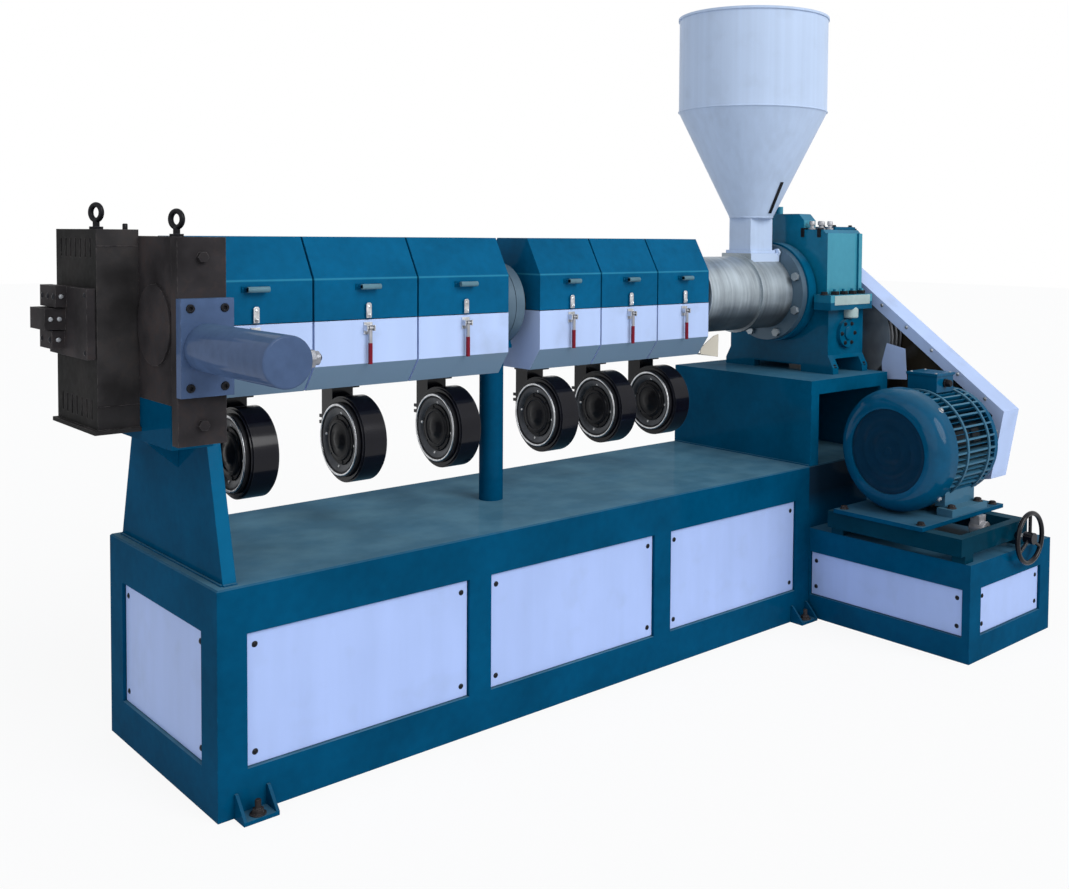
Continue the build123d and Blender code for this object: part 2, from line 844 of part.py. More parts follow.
# Blowers: scroll casings with an upward outlet at the back
outlet_y = blower_r - blower_outlet_width / 2
with BuildPart() as blower_casings:
    for blower_x in blower_xs:
        with BuildSketch(cross_plane(blower_x - blower_thickness / 2)):
            with Locations((0, blower_z)):
                Circle(blower_r - blower_edge / 2)
        extrude(amount=blower_thickness)
        with BuildSketch(cross_plane(blower_x - blower_thickness / 2 + blower_edge / 2)):
            with Locations((0, blower_z)):
                Circle(blower_r)
            with Locations((outlet_y, (blower_z + blower_outlet_top) / 2)):
                Rectangle(blower_outlet_width, blower_outlet_top - blower_z)
        extrude(amount=blower_thickness - blower_edge)
finish(blower_casings, "blower_casings")

# Blower inlets: a raised ring round the hub on each face
with BuildPart() as blower_inlets:
    for blower_x in blower_xs:
        face_x = blower_x - blower_thickness / 2
        with BuildSketch(cross_plane(face_x)):
            with Locations((0, blower_z)):
                Circle(inlet_ring_r)
                Circle(inlet_ring_bore_r, mode=Mode.SUBTRACT)
        extrude(amount=-inlet_ring_thickness)
        with BuildSketch(cross_plane(face_x)):
            with Locations((0, blower_z)):
                Circle(inlet_hub_r)
        extrude(amount=-inlet_hub_thickness)
finish(blower_inlets, "blower_inlets")

# Blower ducts between the scroll outlets and the pans
duct_height = pan_bottom_z - blower_outlet_top
with BuildPart() as blower_ducts:
    for blower_x in blower_xs:
        for low, thick in ((blower_outlet_top, blower_flange), (pan_bottom_z - blower_flange, blower_flange)):
            with Locations((blower_x, outlet_y - blower_flange_grow, low + thick / 2)):
                Box(blower_thickness + blower_flange_grow, blower_outlet_width + blower_flange_grow, thick)
        with Locations((blower_x, outlet_y - blower_flange_grow, blower_outlet_top + duct_height / 2)):
            Box(blower_thickness - blower_flange_grow, blower_outlet_width, duct_height)
finish(blower_ducts, "blower_ducts")

# Feed throat: a ribbed round casting with a flange to the gearbox and a boss for the hopper
with BuildPart() as feed_throat:
    with BuildSketch(cross_plane(throat_x)):
        with Locations((0, axis_z)):
            Circle(throat_r)
    extrude(amount=throat_flange_x - throat_x)
    with BuildSketch(cross_plane(throat_flange_x)):
        with Locations((0, axis_z)):
            Circle(throat_flange_r)
    extrude(amount=throat_flange_length)
    for rib_number in range(throat_rib_count):
        rib_x = throat_x + rib_number * (hopper_x - throat_boss_x / 2 - throat_x - throat_rib)
        with BuildSketch(cross_plane(rib_x)):
            with Locations((0, axis_z)):
                Circle(throat_rib_r)
        extrude(amount=throat_rib)
    with BuildSketch(Plane.XY.offset(axis_z)):
        with Locations((hopper_x, 0)):
            Rectangle(throat_boss_x, throat_boss_y)
    extrude(amount=throat_boss_top - axis_z)
    with BuildSketch(Plane.XY.offset(throat_boss_top)):
        with Locations((hopper_x, 0)):
            Circle(feed_bore_r)
    extrude(amount=axis_z - throat_boss_top, mode=Mode.SUBTRACT)
    with BuildSketch(Plane(origin=(throat_flange_x, 0, axis_z), x_dir=(0, 1, 0), z_dir=(-1, 0, 0))):
        with PolarLocations(flange_bolt_ring_r, flange_bolt_count, start_angle=180 / flange_bolt_count):
            RegularPolygon(flange_bolt_head_r, 6)
    extrude(amount=flange_bolt_head)
finish(feed_throat, "feed_throat")

# Hopper bin: a rolled cylinder over a cone, with a beaded rim
neck_top_z = hopper_cone_z
cone_low_r = math.hypot(neck_x, neck_y) / 2
slant = math.atan2(hopper_r - cone_low_r, hopper_seam_z - hopper_cone_z)
wall_r = hopper_wall / math.cos(slant)
hopper_plane = Plane(origin=(hopper_x, 0, 0), x_dir=(1, 0, 0), z_dir=(0, -1, 0))
with BuildPart() as hopper_bin:
    with BuildSketch(hopper_plane):
        with BuildLine():
            Polyline(
                (cone_low_r, neck_top_z),
                (hopper_r, hopper_seam_z),
                (hopper_r, hopper_rim_z - hopper_bead),
                (hopper_r + hopper_bead / 2, hopper_rim_z - hopper_bead),
                (hopper_r + hopper_bead / 2, hopper_rim_z),
                (hopper_r - hopper_wall, hopper_rim_z),
                (hopper_r - hopper_wall, hopper_seam_z),
                (cone_low_r - wall_r, neck_top_z),
                close=True,
            )
        make_face()
    revolve(axis=Axis((hopper_x, 0, 0), (0, 0, 1)))
finish(hopper_bin, "hopper_bin")

# Hopper neck: a square tube between two plates
neck_plate_low = throat_boss_top
with BuildPart() as hopper_neck:
    with BuildSketch(Plane.XY.offset(neck_plate_low)):
        with Locations((hopper_x, 0)):
            Rectangle(neck_x + 2 * neck_plate_grow, neck_y + 2 * neck_plate_grow)
    extrude(amount=neck_plate)
    with BuildSketch(Plane.XY.offset(neck_plate_low + neck_plate)):
        with Locations((hopper_x, 0)):
            Rectangle(neck_x, neck_y)
    extrude(amount=neck_top_z - neck_plate_low - neck_plate)
    with BuildSketch(Plane.XY.offset(neck_top_z - sheet)):
        with Locations((hopper_x, 0)):
            Circle(cone_low_r)
    extrude(amount=sheet)
    with BuildSketch(Plane.XY.offset(neck_plate_low)):
        with Locations((hopper_x, 0)):
            Rectangle(neck_x - 2 * hopper_wall, neck_y - 2 * hopper_wall)
    extrude(amount=neck_top_z - neck_plate_low, mode=Mode.SUBTRACT)
finish(hopper_neck, "hopper_neck")

# Gearbox: lower case on its feet, parting flange, lid and round thrust housing
gear_mid_x = gear_x + gear_length / 2
with BuildPart() as gearbox_body:
    with BuildSketch(cross_plane(gear_x)):
        with BuildLine():
            Polyline(
                (-gear_foot_half, pedestal_top_z),
                (-gear_foot_gap_half, pedestal_top_z),
                (-gear_foot_gap_half, pedestal_top_z + gear_foot),
                (gear_foot_gap_half, pedestal_top_z + gear_foot),
                (gear_foot_gap_half, pedestal_top_z),
                (gear_foot_half, pedestal_top_z),
                (gear_foot_half, pedestal_top_z + gear_foot),
                (gear_low_half, pedestal_top_z + gear_foot + gear_low_rise),
                (gear_low_half, gear_flange_z),
                (-gear_low_half, gear_flange_z),
                (-gear_low_half, pedestal_top_z + gear_foot + gear_low_rise),
                (-gear_foot_half, pedestal_top_z + gear_foot),
                close=True,
            )
        make_face()
    extrude(amount=gear_length)
    with Locations((gear_mid_x, 0, gear_flange_z - gear_flange_height / 4)):
        Box(gear_length + gear_corner, 2 * gear_flange_half, gear_flange_height / 2)
    for side in (-1, 1):
        with BuildSketch(Plane(origin=(gear_cap_x, side * gear_low_half, gear_cap_z), z_dir=(0, side, 0))):
            Circle(gear_cap_r)
        extrude(amount=gear_cap)
        ear_mid_y = side * (gear_ear_half + gear_flange_half) / 2
        ear_mid_x = gear_x - (gear_corner + gear_ear_reach) / 2
        with Locations((ear_mid_x, ear_mid_y, gear_flange_z - gear_flange_height / 4)):
            Box(gear_ear_reach, gear_flange_half - gear_ear_half, gear_flange_height / 2)
    with Locations((gear_mid_x, 0, pedestal_top_z + gear_slot_height / 2)):
        Box(gear_length - 2 * gear_slot_inset, 2 * gear_foot_half, gear_slot_height, mode=Mode.SUBTRACT)
    with BuildSketch(cross_plane(gear_x + gear_length)):
        with Locations((input_y, input_z)):
            Circle(hub_r + web)
    extrude(amount=web)
    with BuildSketch(cross_plane(gear_x + gear_length)):
        with Locations((input_y, input_z)):
            Circle(input_shaft_r)
    extrude(amount=pulley_x + pulley_length - gear_x - gear_length)
finish(gearbox_body, "gearbox_body")

with BuildPart() as gearbox_lid:
    with Locations((gear_mid_x, 0, gear_flange_z + gear_flange_height / 4)):
        Box(gear_length + gear_corner, 2 * gear_flange_half, gear_flange_height / 2)
    with BuildSketch(cross_plane(gear_x)):
        with BuildLine():
            lid_low = gear_flange_z + gear_flange_height / 2
            Polyline(
                (-gear_top_half, lid_low),
                (-gear_top_half, gear_top_z - gear_shoulder),
                (-gear_top_half + gear_shoulder, gear_top_z),
                (gear_top_half - gear_shoulder, gear_top_z),
                (gear_top_half, gear_top_z - gear_shoulder),
                (gear_top_half, lid_low),
                close=True,
            )
        make_face()
    extrude(amount=gear_length)
    for side in (-1, 1):
        for i in range(gear_bolt_count):
            bolt_x = gear_x + gear_length * (2 * i + 1) / (2 * gear_bolt_count)
            bolt_y = side * (gear_top_half + gear_flange_half) / 2
            with Locations((bolt_x, bolt_y, lid_low + gear_bolt_height / 2)):
                Cylinder(gear_bolt_r, gear_bolt_height)
    hump_mid_y = (gear_hump_low_y + gear_hump_high_y) / 2
    with BuildSketch(cross_plane(gear_x)):
        with BuildLine():
            hump_top_z = gear_top_z + gear_hump_height
            Polyline(
                (gear_hump_low_y, gear_top_z),
                (gear_hump_low_y, hump_top_z - gear_hump_round),
                (gear_hump_low_y + gear_hump_round, hump_top_z),
                (gear_hump_high_y - gear_hump_round, hump_top_z),
                (gear_hump_high_y, hump_top_z - gear_hump_round),
                (gear_hump_high_y, gear_top_z),
                close=True,
            )
        make_face()
    extrude(amount=gear_hump_length)
    with Locations((gear_x + gear_hump_length / 2, hump_mid_y, hump_top_z + gear_plug_height / 2)):
        Cylinder(gear_plug_r, gear_plug_height)
    rib_height = gear_top_z - gear_shoulder - lid_low
    for side in (-1, 1):
        for rib_x in (gear_x + gear_rib / 2, gear_x + gear_length - gear_rib / 2):
            with Locations((rib_x, side * (gear_top_half + gear_rib_proud / 2), lid_low + rib_height / 2)):
                Box(gear_rib, gear_rib_proud, rib_height)
        ear_mid_y = side * (gear_ear_half + gear_flange_half) / 2
        ear_mid_x = gear_x - (gear_corner + gear_ear_reach) / 2
        with Locations((ear_mid_x, ear_mid_y, gear_flange_z + gear_flange_height / 4)):
            Box(gear_ear_reach, gear_flange_half - gear_ear_half, gear_flange_height / 2)
finish(gearbox_lid, "gearbox_lid")

with BuildPart() as thrust_housing:
    with BuildSketch(cross_plane(gear_thrust_x)):
        with Locations((0, axis_z)):
            Circle(gear_thrust_r)
    extrude(amount=gear_x - gear_corner / 2 - gear_thrust_x)
finish(thrust_housing, "thrust_housing")

# Motor: finned case on two feet, end shield, round cowl and terminal box
motor_body_x = motor_cowl_x + motor_cowl_length
motor_front_x = motor_body_x + motor_body_length
with BuildPart() as motor_body:
    with BuildSketch(cross_plane(motor_body_x)):
        with Locations((motor_y, motor_z)):
            Circle(motor_core_r)
            with PolarLocations((motor_core_r + motor_fin_r) / 2 - motor_fin_width, motor_fin_count):
                Rectangle(motor_fin_r - motor_core_r + 2 * motor_fin_width, motor_fin_width)
    extrude(amount=motor_body_length - motor_shield)
    with BuildSketch(cross_plane(motor_front_x - motor_shield)):
        with Locations((motor_y, motor_z)):
            Circle(motor_shield_r)
    extrude(amount=motor_shield)
    with BuildSketch(cross_plane(motor_front_x)):
        with Locations((motor_y, motor_z)):
            Circle(motor_nose_r)
    extrude(amount=motor_nose_length, taper=motor_nose_taper)
    foot_mid_x = motor_body_x + motor_body_length / 2
    for side in (-1, 1):
        foot_y = motor_y + side * (motor_foot_half - motor_foot_width / 2)
        with Locations((foot_mid_x, foot_y, plate_top_z + motor_foot_height / 2)):
            Box(motor_foot_length, motor_foot_width, motor_foot_height)
        leg_y = motor_y + side * (motor_foot_half - motor_foot_width)
        leg_height = motor_z - plate_top_z - motor_foot_height
        with Locations((foot_mid_x, leg_y, plate_top_z + motor_foot_height + leg_height / 4)):
            Box(motor_foot_length - motor_leg, motor_leg, leg_height / 2)
    with BuildSketch(cross_plane(motor_front_x)):
        with Locations((motor_y, motor_z)):
            Circle(motor_shaft_r)
    extrude(amount=pulley_x + pulley_length - motor_front_x)
finish(motor_body, "motor_body")

with BuildPart() as motor_cowl:
    with BuildSketch(cross_plane(motor_cowl_x)):
        with Locations((motor_y, motor_z)):
            Circle(motor_cowl_r)
    extrude(amount=motor_cowl_length - touch)
    fillet(motor_cowl.edges().sort_by(Axis.X)[0], motor_cowl_round)
    with BuildSketch(cross_plane(motor_cowl_x)):
        with Locations((motor_y, motor_z)):
            Circle(motor_cowl_recess_r)
    extrude(amount=motor_cowl_recess, mode=Mode.SUBTRACT)
finish(motor_cowl, "motor_cowl")

box_low_z = motor_z + motor_fin_r - motor_fin_width
with BuildPart() as terminal_box:
    box_mid = (foot_mid_x + box_shift, motor_y)
    with Locations((box_mid[0], box_mid[1], box_low_z + box_height / 2)):
        Box(box_x, box_y, box_height)
    with Locations((box_mid[0], box_mid[1], box_low_z + box_height + box_lid / 2)):
        Box(box_x + 2 * box_lid_grow, box_y + 2 * box_lid_grow, box_lid)
    with BuildSketch(cross_plane(motor_body_x)):
        with Locations((motor_y, motor_z)):
            Circle(motor_fin_r + touch)
    extrude(amount=motor_body_length, mode=Mode.SUBTRACT)
finish(terminal_box, "terminal_box")

# Motor plate on its slide frame
with BuildPart() as motor_plate:
    plate_mid = (plate_x + plate_length / 2, plate_front_y + plate_depth / 2)
    with Locations((plate_mid[0], plate_mid[1], plate_top_z - plate_thickness / 2)):
        Box(plate_length, plate_depth, plate_thickness)
finish(motor_plate, "motor_plate")

slide_top_z = plate_top_z - plate_thickness
slide_low_z = sub_height
slide_mid_x = slide_x + slide_length / 2
slide_mid_y = slide_front_y + slide_depth / 2
with BuildPart() as slide_frame:
    rail_mid_z = slide_top_z - slide_rail_height / 2
    for side in (-1, 1):
        rail_x = slide_mid_x + side * (slide_length - slide_rail) / 2
        with Locations((rail_x, slide_mid_y, rail_mid_z)):
            Box(slide_rail, slide_depth, slide_rail_height)
    for side in (-1, 1):
        cross_y = slide_mid_y + side * (slide_depth - slide_cross) / 2
        with Locations((slide_mid_x, cross_y, rail_mid_z)):
            Box(slide_length, slide_cross, slide_rail_height)
    pad_height = slide_top_z - slide_rail_height - slide_low_z
    for pad_x in (sub_x + slide_rail / 2, slide_x + slide_length - slide_rail / 2):
        for side in (-1, 1):
            pad_y = slide_mid_y + side * (slide_depth - slide_rail) / 2
            with Locations((pad_x, pad_y, slide_low_z + pad_height / 2)):
                Box(slide_rail, slide_rail, pad_height)
    with BuildSketch(Plane(origin=(screw_x, slide_front_y, screw_z), x_dir=(1, 0, 0), z_dir=(0, 1, 0))):
        Circle(screw_r + screw_clear)
    extrude(amount=slide_cross + overrun, mode=Mode.SUBTRACT)
finish(slide_frame, "slide_frame")

# Handwheel with its screw
wheel_plane = Plane(origin=(screw_x, wheel_y, screw_z), x_dir=(1, 0, 0), z_dir=(0, 1, 0))
with BuildPart() as handwheel:
    with BuildSketch(Plane(origin=(screw_x, wheel_y, screw_z), x_dir=(1, 0, 0), z_dir=(0, 0, 1))):
        with Locations((wheel_r - wheel_rim_r, 0)):
            Circle(wheel_rim_r)
    revolve(axis=Axis((screw_x, wheel_y, screw_z), (0, 1, 0)))
    with BuildSketch(wheel_plane):
        Circle(wheel_hub_r)
    extrude(amount=wheel_hub_length / 2, both=True)
    for spoke_number in range(wheel_spokes):
        angle = 360 * spoke_number / wheel_spokes + 90
        spoke_dir = (math.cos(math.radians(angle)), 0, math.sin(math.radians(angle)))
        with BuildSketch(Plane(origin=(screw_x, wheel_y, screw_z), x_dir=(0, 1, 0), z_dir=spoke_dir)):
            Circle(wheel_spoke_r)
        extrude(amount=wheel_r - wheel_rim_r)
    screw_start = (screw_x, wheel_y + wheel_hub_length / 2, screw_z)
    with BuildSketch(Plane(origin=screw_start, x_dir=(1, 0, 0), z_dir=(0, 1, 0))):
        Circle(screw_r)
    extrude(amount=screw_back)
finish(handwheel, "handwheel")


# Pulleys: grooved rims with a web and a hub
def pulley_outline(radius, bore_r):
    """Half section of a grooved pulley, from its bore to its rim."""
    pitch = pulley_length / groove_count
    points = [(0, bore_r), (0, radius)]
    for i in range(groove_count):
        middle = (i + 0.5) * pitch
        points.append((middle - groove_width / 2, radius))
        points.append((middle - groove_width / 4, radius - groove_depth))
        points.append((middle + groove_width / 4, radius - groove_depth))
        points.append((middle + groove_width / 2, radius))
    points += [(pulley_length, radius), (pulley_length, bore_r)]
    return points


def build_pulley(radius, bore_r, centre_y, centre_z):
    """One grooved pulley, bored to run on its shaft."""
    plane = Plane(origin=(pulley_x, centre_y, centre_z), x_dir=(1, 0, 0), z_dir=(0, -1, 0))
    with BuildPart() as pulley:
        with BuildSketch(plane):
            with BuildLine():
                Polyline(*pulley_outline(radius, bore_r), close=True)
            make_face()
        revolve(axis=Axis((pulley_x, centre_y, centre_z), (1, 0, 0)))
    return pulley


finish(build_pulley(drive_pulley_r, motor_shaft_r + shaft_clear, motor_y, motor_z), "drive_pulley")
finish(build_pulley(driven_pulley_r, input_shaft_r + shaft_clear, input_y, input_z), "driven_pulley")

# V-belts: loops round both pulleys, one in each groove
span_y = input_y - motor_y
span_z = input_z - motor_z
span = math.hypot(span_y, span_z)
span_angle = math.degrees(math.atan2(span_z, span_y))


def belt_loop(low_r, high_r):
    """Loop of tangent lines and arcs round two circles, along the belt plane's own x."""
    lean = math.asin((low_r - high_r) / span)
    low_top = (low_r * math.sin(lean), low_r * math.cos(lean))
    high_top = (span + high_r * math.sin(lean), high_r * math.cos(lean))
    with BuildLine() as loop:
        Line(low_top, high_top)
        ThreePointArc(high_top, (span + high_r, 0), (high_top[0], -high_top[1]))
        Line((high_top[0], -high_top[1]), (low_top[0], -low_top[1]))
        ThreePointArc((low_top[0], -low_top[1]), (-low_r, 0), low_top)
    return loop.line


belt_dir = (0, span_y / span, span_z / span)
belt_width = groove_width - 4 * belt_clear
with BuildPart() as v_belts:
    for i in range(groove_count):
        belt_x = pulley_x + (i + 0.5) * pulley_length / groove_count
        plane = Plane(origin=(belt_x, motor_y, motor_z), x_dir=belt_dir, z_dir=(1, 0, 0))
        low_r = drive_pulley_r + belt_clear
        high_r = driven_pulley_r + belt_clear
        with BuildSketch(plane):
            with BuildLine():
                add(belt_loop(low_r + belt_height / 2, high_r + belt_height / 2))
            make_face()
            with BuildLine():
                add(belt_loop(low_r, high_r))
            make_face(mode=Mode.SUBTRACT)
        extrude(amount=belt_width / 2, both=True)
finish(v_belts, "v_belts")


# Belt guard: a folded sheet box, open low on the side that faces the motor
def guard_outline():
    """The guard's outline across the belts."""
    return [
        (guard_nose_y, guard_nose_z),
        (guard_heel_y, guard_heel_z),
        (guard_toe_y, guard_toe_z),
        (guard_back_y, guard_back_low_z),
        (guard_back_y, guard_back_top_z),
        (guard_crest_y, guard_crest_z),
    ]


with BuildPart() as belt_guard:
    with BuildSketch(cross_plane(guard_x)):
        with BuildLine():
            Polyline(*guard_outline(), close=True)
        make_face()
    extrude(amount=guard_depth)
    with BuildSketch(cross_plane(guard_x + guard_wall)):
        with BuildLine():
            Polyline(*guard_outline(), close=True)
        make_face()
        offset(amount=-guard_wall, mode=Mode.REPLACE)
    extrude(amount=guard_depth - 2 * guard_wall, mode=Mode.SUBTRACT)
    with BuildSketch(cross_plane(guard_x - overrun)):
        with BuildLine():
            Polyline(*guard_outline(), close=True)
        make_face()
        offset(amount=-guard_band, mode=Mode.REPLACE)
        with Locations((guard_heel_y, guard_heel_z)):
            Circle(guard_shaft_r * 2, mode=Mode.SUBTRACT)
    extrude(amount=guard_wall + 2 * overrun, mode=Mode.SUBTRACT)
    with BuildSketch(cross_plane(guard_x - overrun)):
        with Locations((motor_y, motor_z)):
            Circle(guard_shaft_r)
    extrude(amount=guard_wall + 2 * overrun, mode=Mode.SUBTRACT)
    stay_y = guard_back_y - guard_band / 2
    stay_start = gear_x + gear_length
    for stay_z in (guard_back_low_z + guard_band, guard_back_top_z - 2 * guard_band):
        with BuildSketch(cross_plane(stay_start)):
            with Locations((stay_y, stay_z)):
                Circle(guard_stay_r)
        extrude(amount=guard_x + guard_wall - stay_start)
finish(belt_guard, "belt_guard")

# Screen changer: slab with a round boss, and its thick side plate
changer_mid_y = (changer_front_y + changer_rear_y) / 2
with BuildPart() as changer_body:
    with BuildSketch(Plane.XY.offset(changer_low_z)):
        with Locations((changer_x + changer_length / 2, changer_mid_y)):
            Rectangle(changer_length, changer_rear_y - changer_front_y)
    extrude(amount=changer_top_z - changer_low_z)
    chamfer(changer_body.edges().filter_by(Axis.X).sort_by(Axis.Z)[-2:], changer_chamfer)
    boss_y = (changer_front_y - die_half) / 2
    with BuildSketch(Plane(origin=(changer_x, boss_y, axis_z), x_dir=(0, -1, 0), z_dir=(-1, 0, 0))):
        Circle(changer_boss_r)
    extrude(amount=changer_boss)
finish(changer_body, "changer_body")

with BuildPart() as changer_side_plate:
    side_mid_x = plate_side_x + plate_side_length / 2
    side_y = changer_front_y - plate_side_thickness
    with BuildSketch(Plane(origin=(0, changer_front_y, 0), x_dir=(1, 0, 0), z_dir=(0, -1, 0))):
        with Locations((side_mid_x, (plate_side_low_z + changer_top_z) / 2)):
            Rectangle(plate_side_length, changer_top_z - plate_side_low_z)
    extrude(amount=plate_side_thickness)
    for bolt_z in (changer_top_z - side_bolt_inset, plate_side_low_z + side_bolt_inset):
        with BuildSketch(Plane(origin=(side_mid_x, side_y, bolt_z), x_dir=(1, 0, 0), z_dir=(0, -1, 0))):
            RegularPolygon(side_bolt_r, 6)
        extrude(amount=side_bolt_head)
finish(changer_side_plate, "changer_side_plate")

# Hydraulic ram: bolted flange, collar, round body and port
ram_face_y = side_y
ram_flange_y = ram_face_y - ram_flange_thickness
ram_end_y = ram_flange_y - ram_length
with BuildPart() as ram_flange_plate:
    with BuildSketch(Plane(origin=(ram_x, ram_face_y, ram_z), x_dir=(1, 0, 0), z_dir=(0, -1, 0))):
        Rectangle(ram_flange, ram_flange_height)
        with GridLocations(ram_flange - 2 * ram_bolt_inset, ram_flange_height - 2 * ram_bolt_inset, 2, 2):
            Circle(ram_bolt_r, mode=Mode.SUBTRACT)
    extrude(amount=ram_flange_thickness)
finish(ram_flange_plate, "ram_flange")

with BuildPart() as hydraulic_ram:
    with BuildSketch(Plane(origin=(ram_x, ram_flange_y, ram_z), x_dir=(1, 0, 0), z_dir=(0, -1, 0))):
        Circle(ram_collar_r - ram_bolt_r)
    extrude(amount=ram_collar)
    with BuildSketch(Plane(origin=(ram_x, ram_flange_y, ram_z), x_dir=(1, 0, 0), z_dir=(0, -1, 0))):
        Circle(ram_r)
    extrude(amount=ram_length)
    fillet(hydraulic_ram.edges().sort_by(Axis.Y)[0], ram_round)
finish(hydraulic_ram, "hydraulic_ram")

with BuildPart() as port_fitting:
    port_y = ram_end_y + port_inset
    with BuildSketch(cross_plane(ram_x + math.sqrt(ram_r**2 - port_r**2))):
        with Locations((port_y, ram_z)):
            Circle(port_r)
    extrude(amount=port_length)
    with BuildSketch(cross_plane(ram_x + ram_r + port_length / 4)):
        with Locations((port_y, ram_z)):
            RegularPolygon(port_hex_r, 6)
    extrude(amount=port_hex)
    with BuildSketch(Plane(origin=(ram_x, ram_flange_y, ram_z), x_dir=(1, 0, 0), z_dir=(0, -1, 0))):
        Circle(ram_r)
    extrude(amount=ram_length, mode=Mode.SUBTRACT)
finish(port_fitting, "port_fitting")

# Die box with louvres, its terminal blocks and the lifting eyes
die_length = changer_x - die_x
with BuildPart() as die_box:
    with BuildSketch(Plane.XY.offset(die_low_z)):
        with Locations((die_x + die_length / 2, 0)):
            Rectangle(die_length, 2 * die_half)
    extrude(amount=die_top_z - die_low_z)
    with BuildSketch(Plane.XY.offset(die_low_z)):
        with Locations((die_x + (die_length - die_lip) / 2, 0)):
            Rectangle(die_length + die_lip, 2 * die_half + 2 * die_lip)
    extrude(amount=-die_lip)
    louvre_pitch = (2 * die_half - 2 * louvre_margin) / louvre_count
    low_row = die_low_z + louvre_margin + louvre_height / 2
    high_row = die_top_z - louvre_margin - louvre_height / 2
    for row_z in (low_row, high_row):
        with BuildSketch(cross_plane(die_x)):
            with Locations((0, row_z)):
                with GridLocations(louvre_pitch, louvre_height, louvre_count, 1):
                    Rectangle(louvre_width, louvre_height)
        extrude(amount=louvre_depth, mode=Mode.SUBTRACT)
finish(die_box, "die_box")

with BuildPart() as die_block:
    with BuildSketch(cross_plane(die_x)):
        with Locations((0, block_z)):
            Rectangle(2 * (die_half - block_margin), block_height)
    extrude(amount=-block_depth)
    for block_y, centre_z, width, height, reach in (
        (upper_block_y, upper_block_z, upper_block_width, upper_block_height, upper_block_reach),
        (middle_block_y, middle_block_z, middle_block_width, middle_block_height, middle_block_reach),
        (lower_block_y, lower_block_z, lower_block_width, lower_block_height, lower_block_reach),
    ):
        with BuildSketch(cross_plane(die_x - block_depth)):
            with Locations((block_y, centre_z)):
                Rectangle(width, height)
        extrude(amount=-reach)
finish(die_block, "die_block")

eye_spots = ((die_x + die_length / 2, 0, die_top_z), (changer_x + changer_length / 2, changer_front_y * eye_place_share, changer_top_z))
with BuildPart() as eye_bolts:
    for eye_x, eye_y, seat_z in eye_spots:
        with BuildSketch(Plane.XY.offset(seat_z)):
            with Locations((eye_x, eye_y)):
                Circle(eye_shank_r * 2)
        extrude(amount=eye_rim_r)
        with BuildSketch(Plane.XY.offset(seat_z + eye_rim_r)):
            with Locations((eye_x, eye_y)):
                Circle(eye_shank_r)
        extrude(amount=eye_shank - eye_rim_r)
        ring_z = seat_z + eye_shank + eye_r
        across = (math.cos(math.radians(eye_turn)), -math.sin(math.radians(eye_turn)), 0)
        with BuildSketch(Plane(origin=(eye_x, eye_y, ring_z), x_dir=across, z_dir=(0, 0, 1))):
            with Locations((eye_r, 0)):
                Circle(eye_rim_r)
        revolve(axis=Axis((eye_x, eye_y, ring_z), (-across[1], across[0], 0)))
finish(eye_bolts, "eye_bolts")
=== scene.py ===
import json
import math

import bmesh
import bpy
from mathutils import Matrix, Vector


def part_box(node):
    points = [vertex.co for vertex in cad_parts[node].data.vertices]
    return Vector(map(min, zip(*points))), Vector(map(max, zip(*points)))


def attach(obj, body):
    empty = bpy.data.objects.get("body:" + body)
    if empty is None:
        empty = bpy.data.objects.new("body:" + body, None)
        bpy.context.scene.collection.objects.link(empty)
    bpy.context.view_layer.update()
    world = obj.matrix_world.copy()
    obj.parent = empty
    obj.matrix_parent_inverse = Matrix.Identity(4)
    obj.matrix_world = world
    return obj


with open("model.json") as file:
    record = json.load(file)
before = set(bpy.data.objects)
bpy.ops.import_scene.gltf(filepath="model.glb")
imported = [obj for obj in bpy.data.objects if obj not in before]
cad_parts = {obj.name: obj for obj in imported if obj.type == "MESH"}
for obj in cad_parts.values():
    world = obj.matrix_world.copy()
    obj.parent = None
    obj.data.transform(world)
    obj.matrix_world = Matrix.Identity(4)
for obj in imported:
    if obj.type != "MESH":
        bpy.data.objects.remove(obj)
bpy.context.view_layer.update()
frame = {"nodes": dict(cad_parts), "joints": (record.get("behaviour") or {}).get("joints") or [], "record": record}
nodes = frame["nodes"]

# Ways on the machine
to_die, to_drive = (-1, 0, 0), (1, 0, 0)
to_front, to_back = (0, -1, 0), (0, 1, 0)
upward = (0, 0, 1)

# Places that several pieces share, in metres
shafts = {joint["name"]: joint["pos_m"] for joint in frame["joints"]}
motor_y, motor_z = shafts["drive_pulley_spin"][1:]
wheel_x, wheel_y, wheel_z = shafts["handwheel_turn"]
zones = range(1, 7)
screw_z = 1.187
blower_z = 0.812
hopper_x = 1.258
ram_z = 1.143
hood_fold_z = 1.281


# Camera at the photograph's viewing angle

def place_camera():
    """The camera, turned by its yaw, its dip below the horizon and its roll."""
    yaw, dip, roll = 0.75186, 0.04191, 0.0089
    stands_at = (-2.1965, -2.9461, 1.4055)
    look = Vector((math.sin(yaw) * math.cos(dip), math.cos(yaw) * math.cos(dip), -math.sin(dip)))
    level = Vector((math.cos(yaw), -math.sin(yaw), 0))
    upright = level.cross(look)
    right = level * math.cos(roll) + upright * math.sin(roll)
    top = upright * math.cos(roll) - level * math.sin(roll)
    lens = bpy.data.cameras.new("photo_camera")
    lens.lens = 38.713
    lens.sensor_width = 36
    lens.sensor_fit = "HORIZONTAL"
    lens.shift_x = -0.08
    lens.shift_y = -0.1503
    camera = bpy.data.objects.new("photo_camera", lens)
    turn = Matrix((right, top, -look)).transposed().to_4x4()
    camera.matrix_world = Matrix.Translation(stands_at) @ turn
    bpy.context.scene.collection.objects.link(camera)
    bpy.context.scene.camera = camera


place_camera()


# Shader sums

